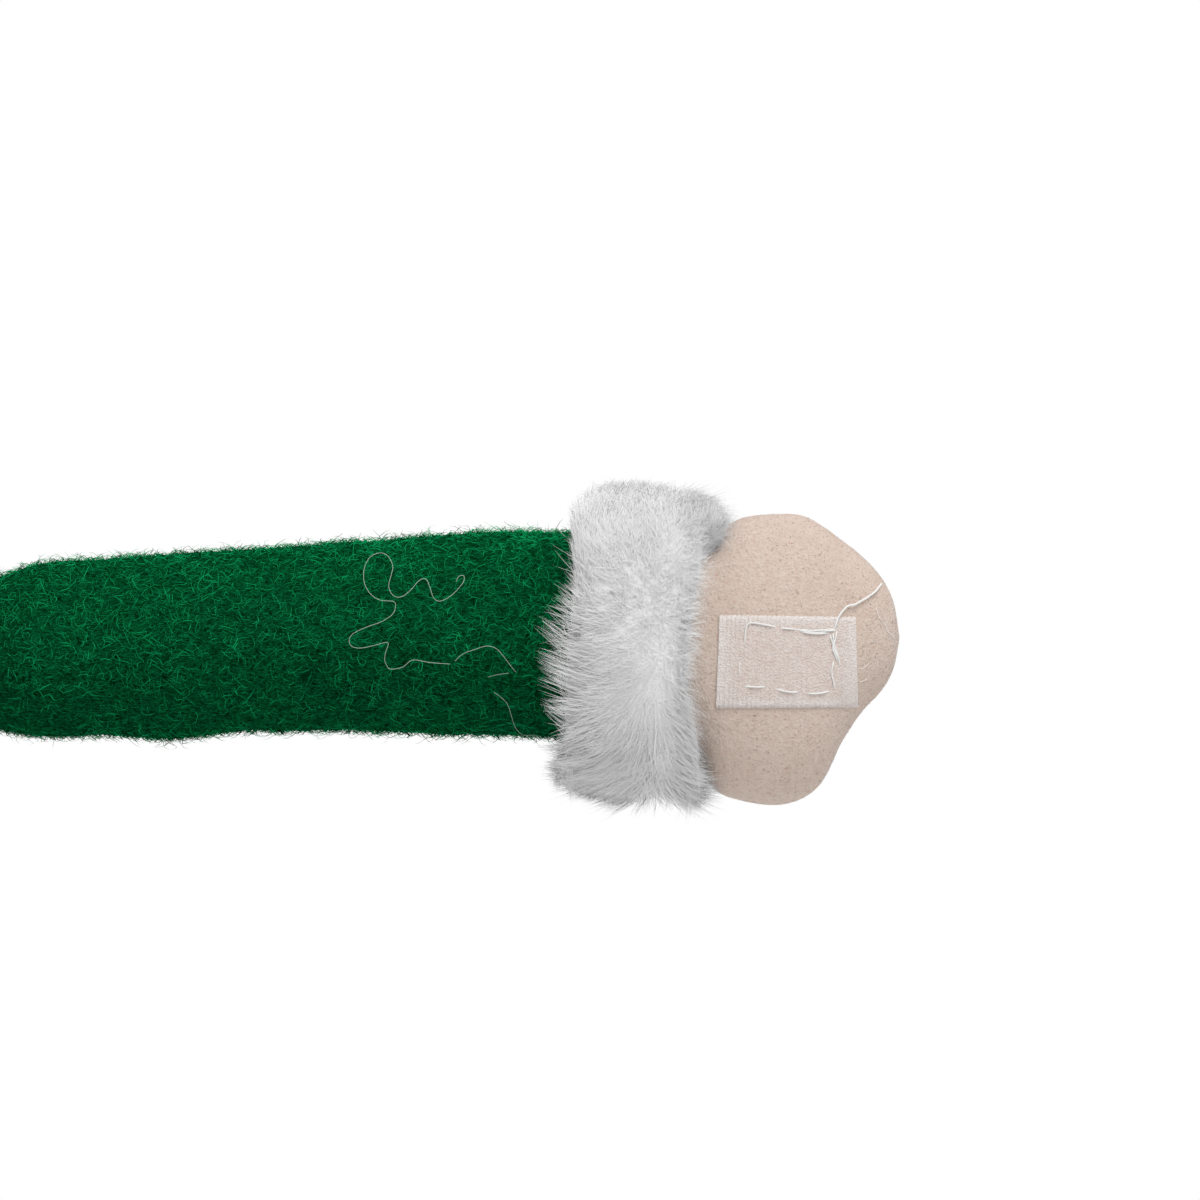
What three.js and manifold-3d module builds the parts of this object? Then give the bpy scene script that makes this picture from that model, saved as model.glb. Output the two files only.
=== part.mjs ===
// Elf doll of felt, faux fur and napped plush, stuffed with fibre filling.
// Its arms lie straight out to the sides. Each ends in a fur cuff and a mitten hand, with a rectangle of
// hook or loop tape sewn to the palm, so that the two hands can be fastened together in a hug.
// Millimetres. +Z is up, the doll faces -Y, and its left arm points along +X.
// The origin is on the floor, at the middle of the doll's outer box.
import * as THREE from "three";
import { mergeVertices } from "three/addons/utils/BufferGeometryUtils.js";
import Module from "manifold-3d";

const wasm = await Module();
wasm.setup();

// Fabric and fit
const clearance = 0.3; // between pieces that are sewn or seated together
const feltWall = 2; // green felt of the suit
const plushWall = 1.6; // napped plush of the hands and head

// Arm, measured along X from the shoulder pivot to the raw edge of the sleeve under the cuff
const sleeveLength = 190;
const sleeveShoulderRadius = 15;
const sleeveWristRadius = 22.8;
const sleeveDepthShare = 0.92; // depth of the sleeve over its height
const armRise = 6.2; // how far the arm arches above the line from pivot to fingertip
const armRisePower = 1.25; // moves the top of the arch towards the wrist
const armSides = 16;
const wristEase = 0.4; // the hand's open end is this much slimmer than the wrist

// Shoulder ball, the gathered head of the sleeve
const gussetRadius = 15;
const hollowSides = 24; // of the hollows round it, finer than the ball, so that it turns clear of them

// Cuff of faux fur round the wrist
const cuffWidth = 34;
const cuffRadius = 32.5;
const cuffPastSleeve = 6; // from the raw edge of the sleeve to the hand side of the cuff
const cuffTilt = THREE.MathUtils.degToRad(5);
const cuffEdgeRound = 9;
const cuffSides = 18;

// Mitten hand. Each station: distance past the wrist, height of the finger side above the arm's
// middle line, depth of the thumb side below it, and half the thickness.
const handInSleeve = 12; // how far the hand's open end is tucked into the sleeve
const handStations = [
  [9, 24, 29, 17.6],
  [13, 26.8, 33.5, 17.2],
  [20, 27.5, 34.6, 16.4],
  [26, 27.4, 33.2, 15.4],
  [30, 25.6, 29.8, 14.4],
  [34, 22.6, 22, 13],
  [38.5, 18.9, 15.4, 11.2],
  [42.5, 14.7, 10.2, 8.6],
  [45, 10, 6.3, 5.8],
];
const handLength = 46.5; // wrist to fingertip
const fingertipHeight = 1.3; // above the arm's middle line
const fingertipHalfDepth = 2;
const fingertipHalfHeight = 4;
const palmPastWrist = 18; // middle of the palm
const palmDrop = 2; // below the arm's middle line
const handSquareness = 2.3; // power of the rounded section

// Hook or loop tape on the palm
const patchLength = 30;
const patchWidth = 20;
const patchThickness = 1.2;
const patchPastWrist = 23; // middle of the tape
const patchDrop = 2.8; // below the arm's middle line

// Leg, measured down from the hip pivot
const hipHeight = 235;
const hipSpacing = 64;
const legRadius = 20;
const legSwell = 1.6; // stuffing fills the leg out between hip and ankle
const legSides = 14;

// Boot with a curled toe, on a flat sole. Each station: distance in front of the leg's middle line,
// height above the floor, half height and half width.
const bootHeight = 58;
const bootShaftRadius = 21;
const bootStations = [
  [-33, 20, 7, 8],
  [-27, 19, 19, 16.5],
  [-10, 20, 24, 20.5],
  [12, 19, 23.5, 21.5],
  [36, 15, 18.5, 20.5],
  [56, 13.5, 13.5, 17],
  [71, 18, 10.5, 12.5],
  [81, 28, 8, 8.5],
  [84, 40, 5, 5],
];
const toeTip = [81, 49];
const bootSquareness = 2.2; // power of the rounded section
const soleThickness = 3;
const soleProud = 1.2; // past the boot all round
const toePompomRadius = 9;
const toePompomLift = 5.4; // middle of the pompom above the curled tip

// Trim round the ankle
const ankleTrimHeight = 26;
const ankleTrimRadius = 29.5;
const ankleTrimRaise = 5; // middle of the trim above the boot's top
const ankleEdgeRound = 9;

// Jacket: each station is a share of its height from the bottom, half the width and half the depth
const jacketHeight = 148;
const jacketStations = [
  [0, 46, 34],
  [0.03, 54, 43],
  [0.18, 60, 48],
  [0.4, 57, 45.5],
  [0.62, 51.5, 40],
  [0.78, 45, 34.5],
  [0.88, 42.5, 31],
  [0.95, 33, 27],
];
const jacketSides = 20;
const jacketSquareness = 2.2; // power of the rounded section
const shoulderShare = 0.858; // height of the shoulder pivots, as a share of the jacket's
const neckRadius = 19;
const neckLength = 36;
const neckInJacket = 5;

// Fur bands of the jacket
const hemTrimHeight = 27;
const hemTrimThickness = 11;
const hemTrimLift = 2.7; // above the jacket's bottom, so that the legs swing under it
const collarRadius = 33;
const collarThickness = 22;

// Seat of the trousers, sewn under the jacket. Each station is a share of its drop, a share of the
// room between the rounded tops of the legs, and half its depth.
const seatDrop = 15;
const seatStations = [
  [1, 0.55, 8],
  [0.8, 0.8, 14],
  [0.45, 0.92, 19],
  [0, 0.7, 23],
];

// Pompom buttons down the front, at shares of the jacket's height
const buttonRadius = 7;
const buttonShares = [0.35, 0.54, 0.72];

// Head and face
const headRadius = 57;
const headHalfHeight = 54;
const headAboveJacket = 67; // middle of the head above the jacket's top
const headSides = 18;
const neckHoleRadius = 23;
const noseRadius = 8;
const noseDrop = 9;
const eyeRadius = 5.5;
const eyeSpacing = 38;
const eyeRise = 4;
const earReach = 30; // past the side of the head
const earHeight = 25;
const earThickness = 7;
const earTipRise = 16;

// Hat: each station is the place of its middle line, sideways and up from the brim, and its radius
const brimRise = 23; // brim above the middle of the head
const hatStations = [
  [0, 22, 48.5],
  [0, 44, 39.5],
  [-3, 66, 31],
  [-12, 88, 24.5],
  [-30, 104, 19],
  [-52, 107, 14],
  [-70, 98, 10],
];
const hatTip = [-79, 87];
const hatTrimHeight = 25;
const hatTrimThickness = 11;
const hatTrimLift = 7.5; // middle of the trim above the brim
const hatPompomRadius = 15;
const hatPompomPast = [-5, -9]; // middle of the pompom from the hat's tip, sideways and up

// Sizes that follow from those above
const armReach = sleeveLength + handLength;
const cuffMiddle = sleeveLength + cuffPastSleeve - cuffWidth / 2;
const torsoBottom = hipHeight + legRadius + clearance;
const torsoTop = torsoBottom + jacketHeight;
const shoulderHeight = torsoBottom + shoulderShare * jacketHeight;
const headMiddle = torsoTop + headAboveJacket;
const brimHeight = headMiddle + brimRise;
const brimRadius = headRadiusAt(brimRise) + clearance + feltWall;
const shoulderX = jacketHalfWidthAt(shoulderShare) + clearance + gussetRadius;
const toeReach = toeTip[0] + toePompomRadius;
const bodyY = (toeReach - brimRadius - hatTrimThickness) / 2; // centres the outer box on the origin

// Materials of the real doll
const cloth = (color, roughness = 0.95) =>
  new THREE.MeshStandardMaterial({ color, roughness, metalness: 0 });
const greenFelt = cloth(0x0a5a33);
const whiteFur = cloth(0xe2e2e2);
const skinPlush = cloth(0xdcc3b4);
const hookTape = cloth(0xe4dcd8, 0.7);
const fibreFilling = cloth(0xf4f3ee);
const brownFelt = cloth(0x5b3a26);
const darkSole = cloth(0x33251d, 0.8);
const blackBead = cloth(0x0b0b0c, 0.15);
const nosePlush = cloth(0xd8a493);

const point = (x, y, z) => new THREE.Vector3(x, y, z);
const alongX = point(1, 0, 0);
const alongY = point(0, 1, 0);
const alongZ = point(0, 0, 1);

// Solids: a geometry as a closed body for cutting and joining, and back again
function toSolid(geometry) {
  const bare = geometry.clone();
  bare.deleteAttribute("normal");
  bare.deleteAttribute("uv");
  const merged = mergeVertices(bare, 1e-4);
  return new wasm.Manifold(
    new wasm.Mesh({
      numProp: 3,
      vertProperties: merged.attributes.position.array,
      triVerts: new Uint32Array(merged.index.array),
    }),
  );
}

function fromSolid(solid) {
  const { vertProperties, triVerts } = solid.getMesh();
  const geometry = new THREE.BufferGeometry();
  geometry.setAttribute("position", new THREE.BufferAttribute(vertProperties, 3));
  geometry.setIndex(new THREE.BufferAttribute(triVerts, 1));
  geometry.computeVertexNormals();
  return geometry;
}

// A geometry with others cut out of it
function cut(geometry, ...cutters) {
  const start = toSolid(geometry);
  return fromSolid(cutters.reduce((solid, cutter) => solid.subtract(toSolid(cutter)), start));
}

function join(first, second) {
  return fromSolid(toSolid(first).add(toSolid(second)));
}

// Six times the volume inside a surface, negative when its faces point inwards
function signedVolume(positions, index) {
  const [a, b, c] = [new THREE.Vector3(), new THREE.Vector3(), new THREE.Vector3()];
  let sum = 0;
  for (let i = 0; i < index.length; i += 3) {
    a.fromArray(positions, 3 * index[i]);
    b.fromArray(positions, 3 * index[i + 1]);
    c.fromArray(positions, 3 * index[i + 2]);
    sum += a.dot(b.cross(c));
  }
  return sum;
}

const middleOf = (ring) =>
  ring.reduce((sum, place) => sum.add(place), new THREE.Vector3()).divideScalar(ring.length);

// Rings with the first and the last one moved outwards, so that a form cuts past its own ends
function reaching(rings, reach) {
  const ends = [[0, 1], [rings.length - 1, rings.length - 2]];
  const moved = rings.map((ring) => ring.map((place) => place.clone()));
  for (const [end, beside] of ends) {
    const outwards = middleOf(rings[end]).sub(middleOf(rings[beside])).setLength(reach);
    moved[end].forEach((place) => place.add(outwards));
  }
  return moved;
}

// A closed skin over a stack of rings that have the same number of points. An open stack is closed
// at each end by a fan to the ring's middle, and a looped one joins its last ring to its first.
// Each facet is split at its first corner along one slanted direction, so that an inner surface is
// split as the outer one is, and their wall stays even.
function skin(rings, looped = false) {
  const sides = rings[0].length;
  const corners = rings.flat();
  const positions = corners.flatMap((corner) => corner.toArray());
  const slant = point(1, 0.1, 0.01);
  const index = [];
  const bands = looped ? rings.length : rings.length - 1;
  for (let i = 0; i < bands; i++) {
    const next = (i + 1) % rings.length;
    for (let j = 0; j < sides; j++) {
      const k = (j + 1) % sides;
      const quad = [i * sides + j, i * sides + k, next * sides + k, next * sides + j];
      const places = quad.map((corner) => corners[corner].dot(slant));
      const first = places.indexOf(Math.min(...places));
      const [a, b, c, d] = [0, 1, 2, 3].map((step) => quad[(first + step) % 4]);
      index.push(a, b, c, a, c, d);
    }
  }
  if (!looped) {
    for (const [ring, flip] of [[0, true], [rings.length - 1, false]]) {
      const hub = positions.length / 3;
      positions.push(...middleOf(rings[ring]).toArray());
      for (let j = 0; j < sides; j++) {
        const [a, b] = [ring * sides + j, ring * sides + ((j + 1) % sides)];
        index.push(...(flip ? [hub, b, a] : [hub, a, b]));
      }
    }
  }
  if (signedVolume(positions, index) < 0) index.reverse();
  const geometry = new THREE.BufferGeometry();
  geometry.setAttribute("position", new THREE.Float32BufferAttribute(positions, 3));
  geometry.setIndex(index);
  geometry.computeVertexNormals();
  return geometry;
}

// A rounded ring about a middle point, spanned by two directions with a half size along each.
// The power is 2 for an ellipse and more for a squarer section.
function section(middle, first, halfFirst, second, halfSecond, sides, power = 2) {
  const bulge = (value) => Math.sign(value) * Math.abs(value) ** (2 / power);
  return Array.from({ length: sides }, (unused, j) => {
    const turn = (2 * Math.PI * j) / sides;
    return middle
      .clone()
      .addScaledVector(first, halfFirst * bulge(Math.cos(turn)))
      .addScaledVector(second, halfSecond * bulge(Math.sin(turn)));
  });
}

// Value of a list of stations at a place, read straight between its neighbours
function between(stations, place, column) {
  const after = stations.findIndex((station) => station[0] >= place);
  if (after <= 0) return stations[after === 0 ? 0 : stations.length - 1][column];
  const [low, high] = [stations[after - 1], stations[after]];
  const share = (place - low[0]) / (high[0] - low[0]);
  return low[column] + share * (high[column] - low[column]);
}

function jacketHalfWidthAt(share) {
  return between(jacketStations, share, 1);
}

function jacketHalfDepthAt(share) {
  return between(jacketStations, share, 2);
}

function headRadiusAt(rise) {
  return headRadius * Math.sqrt(1 - (rise / headHalfHeight) ** 2);
}

const ball = (radius, x, y, z, sides = 16) =>
  new THREE.SphereGeometry(radius, sides, Math.round(sides / 2)).translate(x, y, z);

// Hollow that the shoulder ball turns in
const gussetSeat = (x, z) => ball(gussetRadius + clearance, x, 0, z, hollowSides);

// A band with rounded edges round the Z axis, centred on the origin: outer radius, bore and height
function band(outer, bore, height, round, sides) {
  const half = height / 2;
  const corner = Math.min(round, half, outer - bore);
  const profile = [new THREE.Vector2(bore, -half)];
  for (const [start, side] of [[-Math.PI / 2, -1], [0, 1]]) {
    for (let step = 0; step <= 2; step++) {
      const turn = start + (step * Math.PI) / 4;
      profile.push(
        new THREE.Vector2(
          outer - corner + corner * Math.cos(turn),
          side * (half - corner) + corner * Math.sin(turn),
        ),
      );
    }
  }
  profile.push(new THREE.Vector2(bore, half), new THREE.Vector2(bore, -half));
  return new THREE.LatheGeometry(profile, sides).rotateX(Math.PI / 2);
}

// Arm: the middle line arches between the shoulder and the fingertip
const armMiddle = (along) =>
  armRise * Math.sin(Math.PI * Math.max(0, along / armReach) ** armRisePower);

const sleeveRadiusAt = (along) =>
  sleeveShoulderRadius +
  (sleeveWristRadius - sleeveShoulderRadius) *
    Math.sin((Math.PI / 2) * Math.min(1, along / sleeveLength));

const sleeveRing = (along, inset) => {
  const radius = sleeveRadiusAt(along) - inset;
  const depth = sleeveRadiusAt(along) * sleeveDepthShare - inset;
  return section(point(along, 0, armMiddle(along)), alongY, depth, alongZ, radius, armSides);
};

const sleeveStart = 3; // where the sleeve meets its gathered head
const sleeveShares = [0, 0.12, 0.25, 0.4, 0.6, 0.8, 1];
const sleeveRings = (inset, end) =>
  sleeveShares
    .map((share) => Math.min(end, sleeveStart + share * (sleeveLength - sleeveStart)))
    .map((along) => sleeveRing(along, inset));

// The outer form of the sleeve, grown by a margin, for cutting what lies round it
const sleeveForm = (margin) => skin(reaching(sleeveRings(-margin, sleeveLength), margin));

function sleeve() {
  const inside = sleeveRings(feltWall, sleeveLength).reverse();
  return cut(skin([...sleeveRings(0, sleeveLength), ...inside], true), gussetSeat(0, 0));
}

function armFilling() {
  const end = sleeveLength - handInSleeve - clearance;
  return cut(skin(sleeveRings(feltWall + clearance, end)), gussetSeat(0, 0));
}

// Hand: sections across the arm from the open wrist, which fits in the sleeve, to the fingertip
const wristMiddle = armMiddle(sleeveLength);

function handRings(margin) {
  const fit = feltWall + clearance - margin;
  const rings = handStations.map(([past, top, bottom, half]) => {
    const middle = point(sleeveLength + past, 0, wristMiddle + (top - bottom) / 2);
    const height = (top + bottom) / 2 + margin;
    return section(middle, alongY, half + margin, alongZ, height, armSides, handSquareness);
  });
  const tip = point(armReach + margin, 0, wristMiddle + fingertipHeight);
  return [
    sleeveRing(sleeveLength - handInSleeve, fit + wristEase),
    sleeveRing(sleeveLength, fit),
    ...rings,
    section(tip, alongY, fingertipHalfDepth, alongZ, fingertipHalfHeight, armSides),
  ];
}

// The hand's inner surface is its outer one drawn in towards the middle of the palm
const handHeart = point(sleeveLength + palmPastWrist, 0, wristMiddle - palmDrop);
function drawnIn(rings, inset) {
  const share = point(
    1 - inset / (handLength - palmPastWrist),
    1 - inset / handStations[2][3],
    1 - inset / handStations[2][1],
  );
  return rings.map((ring) =>
    ring.map((place) => place.clone().sub(handHeart).multiply(share).add(handHeart)),
  );
}

function hand() {
  const inside = drawnIn(handRings(0), plushWall).reverse();
  return skin([...inside, ...handRings(0)]);
}

const handFilling = () => skin(drawnIn(handRings(0), plushWall + clearance));

// Distance of the palm's surface in front of the arm's middle line
function palmAt(past, height) {
  const top = between(handStations, past, 1);
  const bottom = between(handStations, past, 2);
  const across = (height - (top - bottom) / 2) / ((top + bottom) / 2);
  const share = Math.max(0, 1 - Math.abs(across) ** handSquareness) ** (1 / handSquareness);
  return between(handStations, past, 3) * share;
}

// Tape that follows the curve of the palm
function handPatch() {
  const depth = 2 * patchThickness;
  const tape = new THREE.BoxGeometry(patchLength, depth, patchWidth, 7, 1, 4);
  const place = tape.attributes.position;
  for (let i = 0; i < place.count; i++) {
    const past = patchPastWrist + place.getX(i);
    const height = place.getZ(i) - patchDrop;
    const face = palmAt(past, height) + clearance + patchThickness;
    place.setXYZ(i, sleeveLength + past, depth / 2 + place.getY(i) - face, wristMiddle + height);
  }
  return cut(tape, skin(handRings(clearance)));
}

function cuff() {
  const ring = band(cuffRadius, sleeveWristRadius / 2, cuffWidth, cuffEdgeRound, cuffSides)
    .rotateY(Math.PI / 2 + cuffTilt)
    .translate(cuffMiddle, 0, armMiddle(cuffMiddle));
  return cut(ring, sleeveForm(clearance), skin(handRings(clearance)));
}

// Leg: the closed top is a half ball round the hip pivot, and the open end meets the boot
const legLength = hipHeight - bootHeight - 2 * clearance;
const legRing = (down, radius) => section(point(0, 0, -down), alongX, radius, alongY, radius, legSides);

function legRadiusAt(down) {
  const share = down / legLength;
  return legRadius + (bootShaftRadius - legRadius) * share + legSwell * Math.sin(Math.PI * share);
}

function legRings(inset, end) {
  const radius = legRadius - inset;
  const dome = [80, 55, 28].map((degrees) => {
    const turn = THREE.MathUtils.degToRad(degrees);
    return legRing(-radius * Math.sin(turn), radius * Math.cos(turn));
  });
  const tube = [0, 0.35, 0.7, 1].map((share) =>
    legRing(share * end, legRadiusAt(share * end) - inset),
  );
  return [...dome, ...tube];
}

const trouserLeg = () =>
  skin([...legRings(0, legLength), ...legRings(feltWall, legLength).reverse()]);
const legFilling = () => skin(legRings(feltWall + clearance, legLength));

// Boot: a foot swept from heel to curled toe, joined to its shaft and cut flat over the sole
function bootFoot(margin) {
  const middles = bootStations.map(([front, height]) => point(0, -front, height));
  middles.push(point(0, -toeTip[0], toeTip[1]));
  const rings = bootStations.map(([, , halfHeight, halfWidth], i) => {
    const heading = middles[i + 1].clone().sub(middles[Math.max(0, i - 1)]).normalize();
    const upwards = alongX.clone().cross(heading);
    const [wide, high] = [halfWidth + margin, halfHeight + margin];
    return section(middles[i], alongX, wide, upwards, high, legSides, bootSquareness);
  });
  const tip = section(middles.at(-1), alongX, 1.5, alongY, 1.5, legSides);
  return skin(reaching([...rings, tip], margin));
}

// A block that fills everything between two heights, wider than a boot
const slab = (bottom, top) =>
  new THREE.BoxGeometry(hipHeight, hipHeight, top - bottom).translate(0, 0, (bottom + top) / 2);

// An upright round post whose facets line up with the leg's
const post = (lowRadius, highRadius, bottom, top) =>
  skin([
    section(point(0, 0, bottom), alongX, lowRadius, alongY, lowRadius, legSides),
    section(point(0, 0, top), alongX, highRadius, alongY, highRadius, legSides),
  ]);

function boot() {
  const shaft = post(bootShaftRadius - 1, bootShaftRadius, bootStations[2][1], bootHeight);
  const under = slab(-bootHeight, soleThickness + clearance);
  return cut(join(bootFoot(0), shaft), under, toePompom(clearance));
}

const toePompom = (margin) =>
  ball(toePompomRadius + margin, 0, -toeTip[0], toeTip[1] + toePompomLift, 12);

const bootSole = () =>
  fromSolid(toSolid(bootFoot(soleProud)).intersect(toSolid(slab(0, soleThickness))));

function ankleTrim() {
  const middle = bootHeight + ankleTrimRaise;
  const legHere = legRadiusAt(hipHeight - middle - ankleTrimHeight / 2);
  const bore = Math.max(bootShaftRadius, legHere) + clearance;
  const shaft = post(bore, bore, middle - ankleTrimHeight, middle + ankleTrimHeight);
  const ring = band(ankleTrimRadius, bore / 2, ankleTrimHeight, ankleEdgeRound, legSides);
  return cut(ring.translate(0, 0, middle), shaft);
}

// Jacket: a bag closed at the bottom and open at the neck, with its filling inside
function jacketRings(inset, top) {
  const rings = jacketStations.map(([share, width, depth], i) => {
    const middle = point(0, 0, torsoBottom + share * jacketHeight + (i < 2 ? inset : 0));
    const [wide, deep] = [width - inset, depth - inset];
    return section(middle, alongX, wide, alongY, deep, jacketSides, jacketSquareness);
  });
  const mouth = neckRadius + clearance + feltWall - inset;
  rings.push(section(point(0, 0, top), alongX, mouth, alongY, mouth, jacketSides));
  return rings;
}

const jacketForm = (margin) => skin(jacketRings(-margin, torsoTop + margin));

function jacket() {
  const shell = skin([...jacketRings(0, torsoTop), ...jacketRings(feltWall, torsoTop).reverse()]);
  const seats = [-1, 1].map((side) => gussetSeat(side * shoulderX, shoulderHeight));
  return cut(shell, ...seats);
}

const neckBottom = torsoTop - neckInJacket;

function torsoFilling() {
  const rings = jacketRings(feltWall + clearance, neckBottom - clearance).slice(0, -1);
  return skin(rings);
}

// The neck's form grown by a margin, between two heights
const neckPost = (margin, bottom, top) =>
  new THREE.CylinderGeometry(neckRadius + margin, neckRadius + margin, top - bottom, jacketSides)
    .rotateX(Math.PI / 2)
    .translate(0, 0, (bottom + top) / 2);

const neckTop = neckBottom + neckLength;
const neck = () => neckPost(0, neckBottom, neckTop);

function hemTrim() {
  const height = hemTrimLift + hemTrimHeight / 2;
  const share = height / jacketHeight;
  const [width, depth] = [jacketHalfWidthAt(share), jacketHalfDepthAt(share)];
  const outer = width + hemTrimThickness;
  return cut(
    band(outer, width * 0.6, hemTrimHeight, hemTrimThickness, jacketSides)
      .scale(1, (depth + hemTrimThickness) / outer, 1)
      .translate(0, 0, torsoBottom + height),
    jacketForm(clearance),
  );
}

function trouserSeat() {
  const top = torsoBottom - clearance;
  const rings = seatStations.map(([share, wide, deep]) => {
    const height = top - share * seatDrop;
    const legHere = Math.sqrt(Math.max(0, legRadius ** 2 - (height - hipHeight) ** 2));
    const room = hipSpacing / 2 - legHere - clearance;
    return section(point(0, 0, height), alongX, wide * room, alongY, deep, legSides, jacketSquareness);
  });
  return skin(rings);
}

// The collar lies round the neck, between the jacket and the turning head
function collarTrim() {
  const lift = torsoTop + collarThickness / 4;
  const ring = new THREE.TorusGeometry(collarRadius, collarThickness / 2, 8, headSides);
  const bore = neckPost(clearance + feltWall, torsoTop - neckLength, torsoTop + neckLength);
  return cut(ring.translate(0, 0, lift), jacketForm(clearance), bore, headForm(clearance));
}

function pompomButton(share) {
  const front = -jacketHalfDepthAt(share) - buttonRadius / 2;
  const height = torsoBottom + share * jacketHeight;
  return cut(ball(buttonRadius, 0, front, height, 12), jacketForm(clearance));
}

// Head: a round bag with a hole for the neck, its filling resting on the neck's top
function headProfile(inset, holeRadius) {
  const [radius, half] = [headRadius - inset, headHalfHeight - inset];
  const lowest = Math.asin(holeRadius / radius);
  return Array.from({ length: 11 }, (unused, i) => {
    const turn = Math.PI - lowest - (i / 10) * (Math.PI - lowest);
    return new THREE.Vector2(radius * Math.sin(turn), half * Math.cos(turn));
  });
}

const headForm = (margin) =>
  new THREE.SphereGeometry(1, headSides * 2, headSides)
    .rotateX(Math.PI / 2)
    .scale(headRadius + margin, headRadius + margin, headHalfHeight + margin)
    .translate(0, 0, headMiddle);

function head() {
  const outside = headProfile(0, neckHoleRadius);
  const inside = headProfile(plushWall, neckHoleRadius);
  const rings = [...outside.slice(0, -1).reverse(), ...inside.slice(0, -1)].map(({ x, y }) =>
    section(point(0, 0, headMiddle + y), alongX, x, alongY, x, headSides),
  );
  return skin(rings);
}

function headFilling() {
  const margin = plushWall + clearance;
  const rings = headProfile(margin, neckHoleRadius)
    .slice(0, -1)
    .map(({ x, y }) => section(point(0, 0, headMiddle + y), alongX, x, alongY, x, headSides));
  return cut(skin(rings), neckPost(clearance, torsoTop - neckLength, neckTop + clearance));
}

// Where the front of the head lies at a place across and above its middle
const faceAt = (across, rise) =>
  -Math.sqrt(headRadiusAt(rise) ** 2 - across ** 2);

const nose = () =>
  cut(
    ball(noseRadius, 0, faceAt(0, -noseDrop) - noseRadius * 0.5, headMiddle - noseDrop, 14),
    headForm(clearance),
  );

function eye(side) {
  const across = (side * eyeSpacing) / 2;
  const bead = ball(eyeRadius, across, faceAt(across, eyeRise) - 0.5, headMiddle + eyeRise, 12);
  return cut(bead, headForm(clearance));
}

// Pointed ear, on the left side of the head
function ear() {
  const root = headRadius - 8;
  const tip = headRadius + earReach;
  const outline = new THREE.Shape();
  outline.moveTo(root, -earHeight * 0.55);
  outline.quadraticCurveTo(tip - 4, -earHeight * 0.45, tip, earTipRise);
  outline.quadraticCurveTo(tip - 14, earHeight * 0.36, root, earHeight * 0.45);
  outline.closePath();
  const leaf = new THREE.ExtrudeGeometry(outline, {
    depth: earThickness - 4,
    bevelThickness: 2,
    bevelSize: 2,
    bevelSegments: 2,
    curveSegments: 6,
  })
    .rotateX(Math.PI / 2)
    .translate(0, earThickness / 2 + 2, headMiddle - 8);
  return cut(leaf, headForm(clearance));
}

// Hat: a cone of felt whose tip bends over to the doll's right, with a wall all the way up
function hatRings(inset) {
  const start = point(0, 0, brimHeight);
  const middles = [
    start,
    ...hatStations.map(([side, up]) => point(side, 0, brimHeight + up)),
    point(hatTip[0], 0, brimHeight + hatTip[1]),
  ];
  const radii = [brimRadius, ...hatStations.map((station) => station[2]), 5];
  return middles.map((middle, i) => {
    const before = middles[Math.max(0, i - 1)];
    const after = middles[Math.min(middles.length - 1, i + 1)];
    const heading = i ? after.clone().sub(before).normalize() : alongZ;
    const sideways = alongY.clone().cross(heading);
    return section(middle, sideways, radii[i] - inset, alongY, radii[i] - inset, headSides);
  });
}

// The outer form of the hat, grown by a margin, for cutting what lies round it
const hatForm = (margin) => skin(reaching(hatRings(-margin), margin));

function hat() {
  const inside = hatRings(feltWall).slice(0, -1).reverse();
  return skin([...inside, ...hatRings(0)]);
}

// Stuffing that keeps the cone up, resting on the top of the head
const hatFilling = () =>
  cut(skin(hatRings(feltWall + clearance).slice(0, -2)), headForm(clearance));

function hatTrim() {
  const outer = brimRadius + hatTrimThickness;
  const ring = band(outer, brimRadius * 0.7, hatTrimHeight, hatTrimThickness, headSides + 4);
  return cut(
    ring.translate(0, 0, brimHeight + hatTrimLift),
    hatForm(clearance),
    headForm(clearance),
  );
}

function hatPompom() {
  const [side, up] = hatTip.map((place, i) => place + hatPompomPast[i]);
  return cut(ball(hatPompomRadius, side, 0, brimHeight + up, 14), hatForm(clearance));
}

// A named piece of the doll
function piece(name, geometry, material) {
  const mesh = new THREE.Mesh(geometry, material);
  mesh.name = name;
  return mesh;
}

// One side's limb is the left one, and the right one is its mirror image
function placed(side, x, z, pieces) {
  const limb = new THREE.Group();
  limb.position.set(side * x, 0, z);
  limb.scale.x = side;
  limb.add(...pieces);
  return limb;
}

function arm(name, side) {
  return placed(side, shoulderX, shoulderHeight, [
    piece(`${name}_shoulder_gusset`, ball(gussetRadius, 0, 0, 0, armSides), greenFelt),
    piece(`${name}_sleeve`, sleeve(), greenFelt),
    piece(`${name}_arm_filling`, armFilling(), fibreFilling),
    piece(`${name}_cuff`, cuff(), whiteFur),
    piece(`${name}_hand`, hand(), skinPlush),
    piece(`${name}_hand_filling`, handFilling(), fibreFilling),
    piece(`${name}_hand_patch`, handPatch(), hookTape),
  ]);
}

function leg(name, side) {
  const hip = (geometry) => geometry.translate(0, 0, hipHeight);
  return placed(side, hipSpacing / 2, 0, [
    piece(`${name}_trouser_leg`, hip(trouserLeg()), greenFelt),
    piece(`${name}_leg_filling`, hip(legFilling()), fibreFilling),
    piece(`${name}_ankle_trim`, ankleTrim(), whiteFur),
    piece(`${name}_boot`, boot(), brownFelt),
    piece(`${name}_boot_sole`, bootSole(), darkSole),
    piece(`${name}_toe_pompom`, toePompom(0), whiteFur),
  ]);
}

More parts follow.
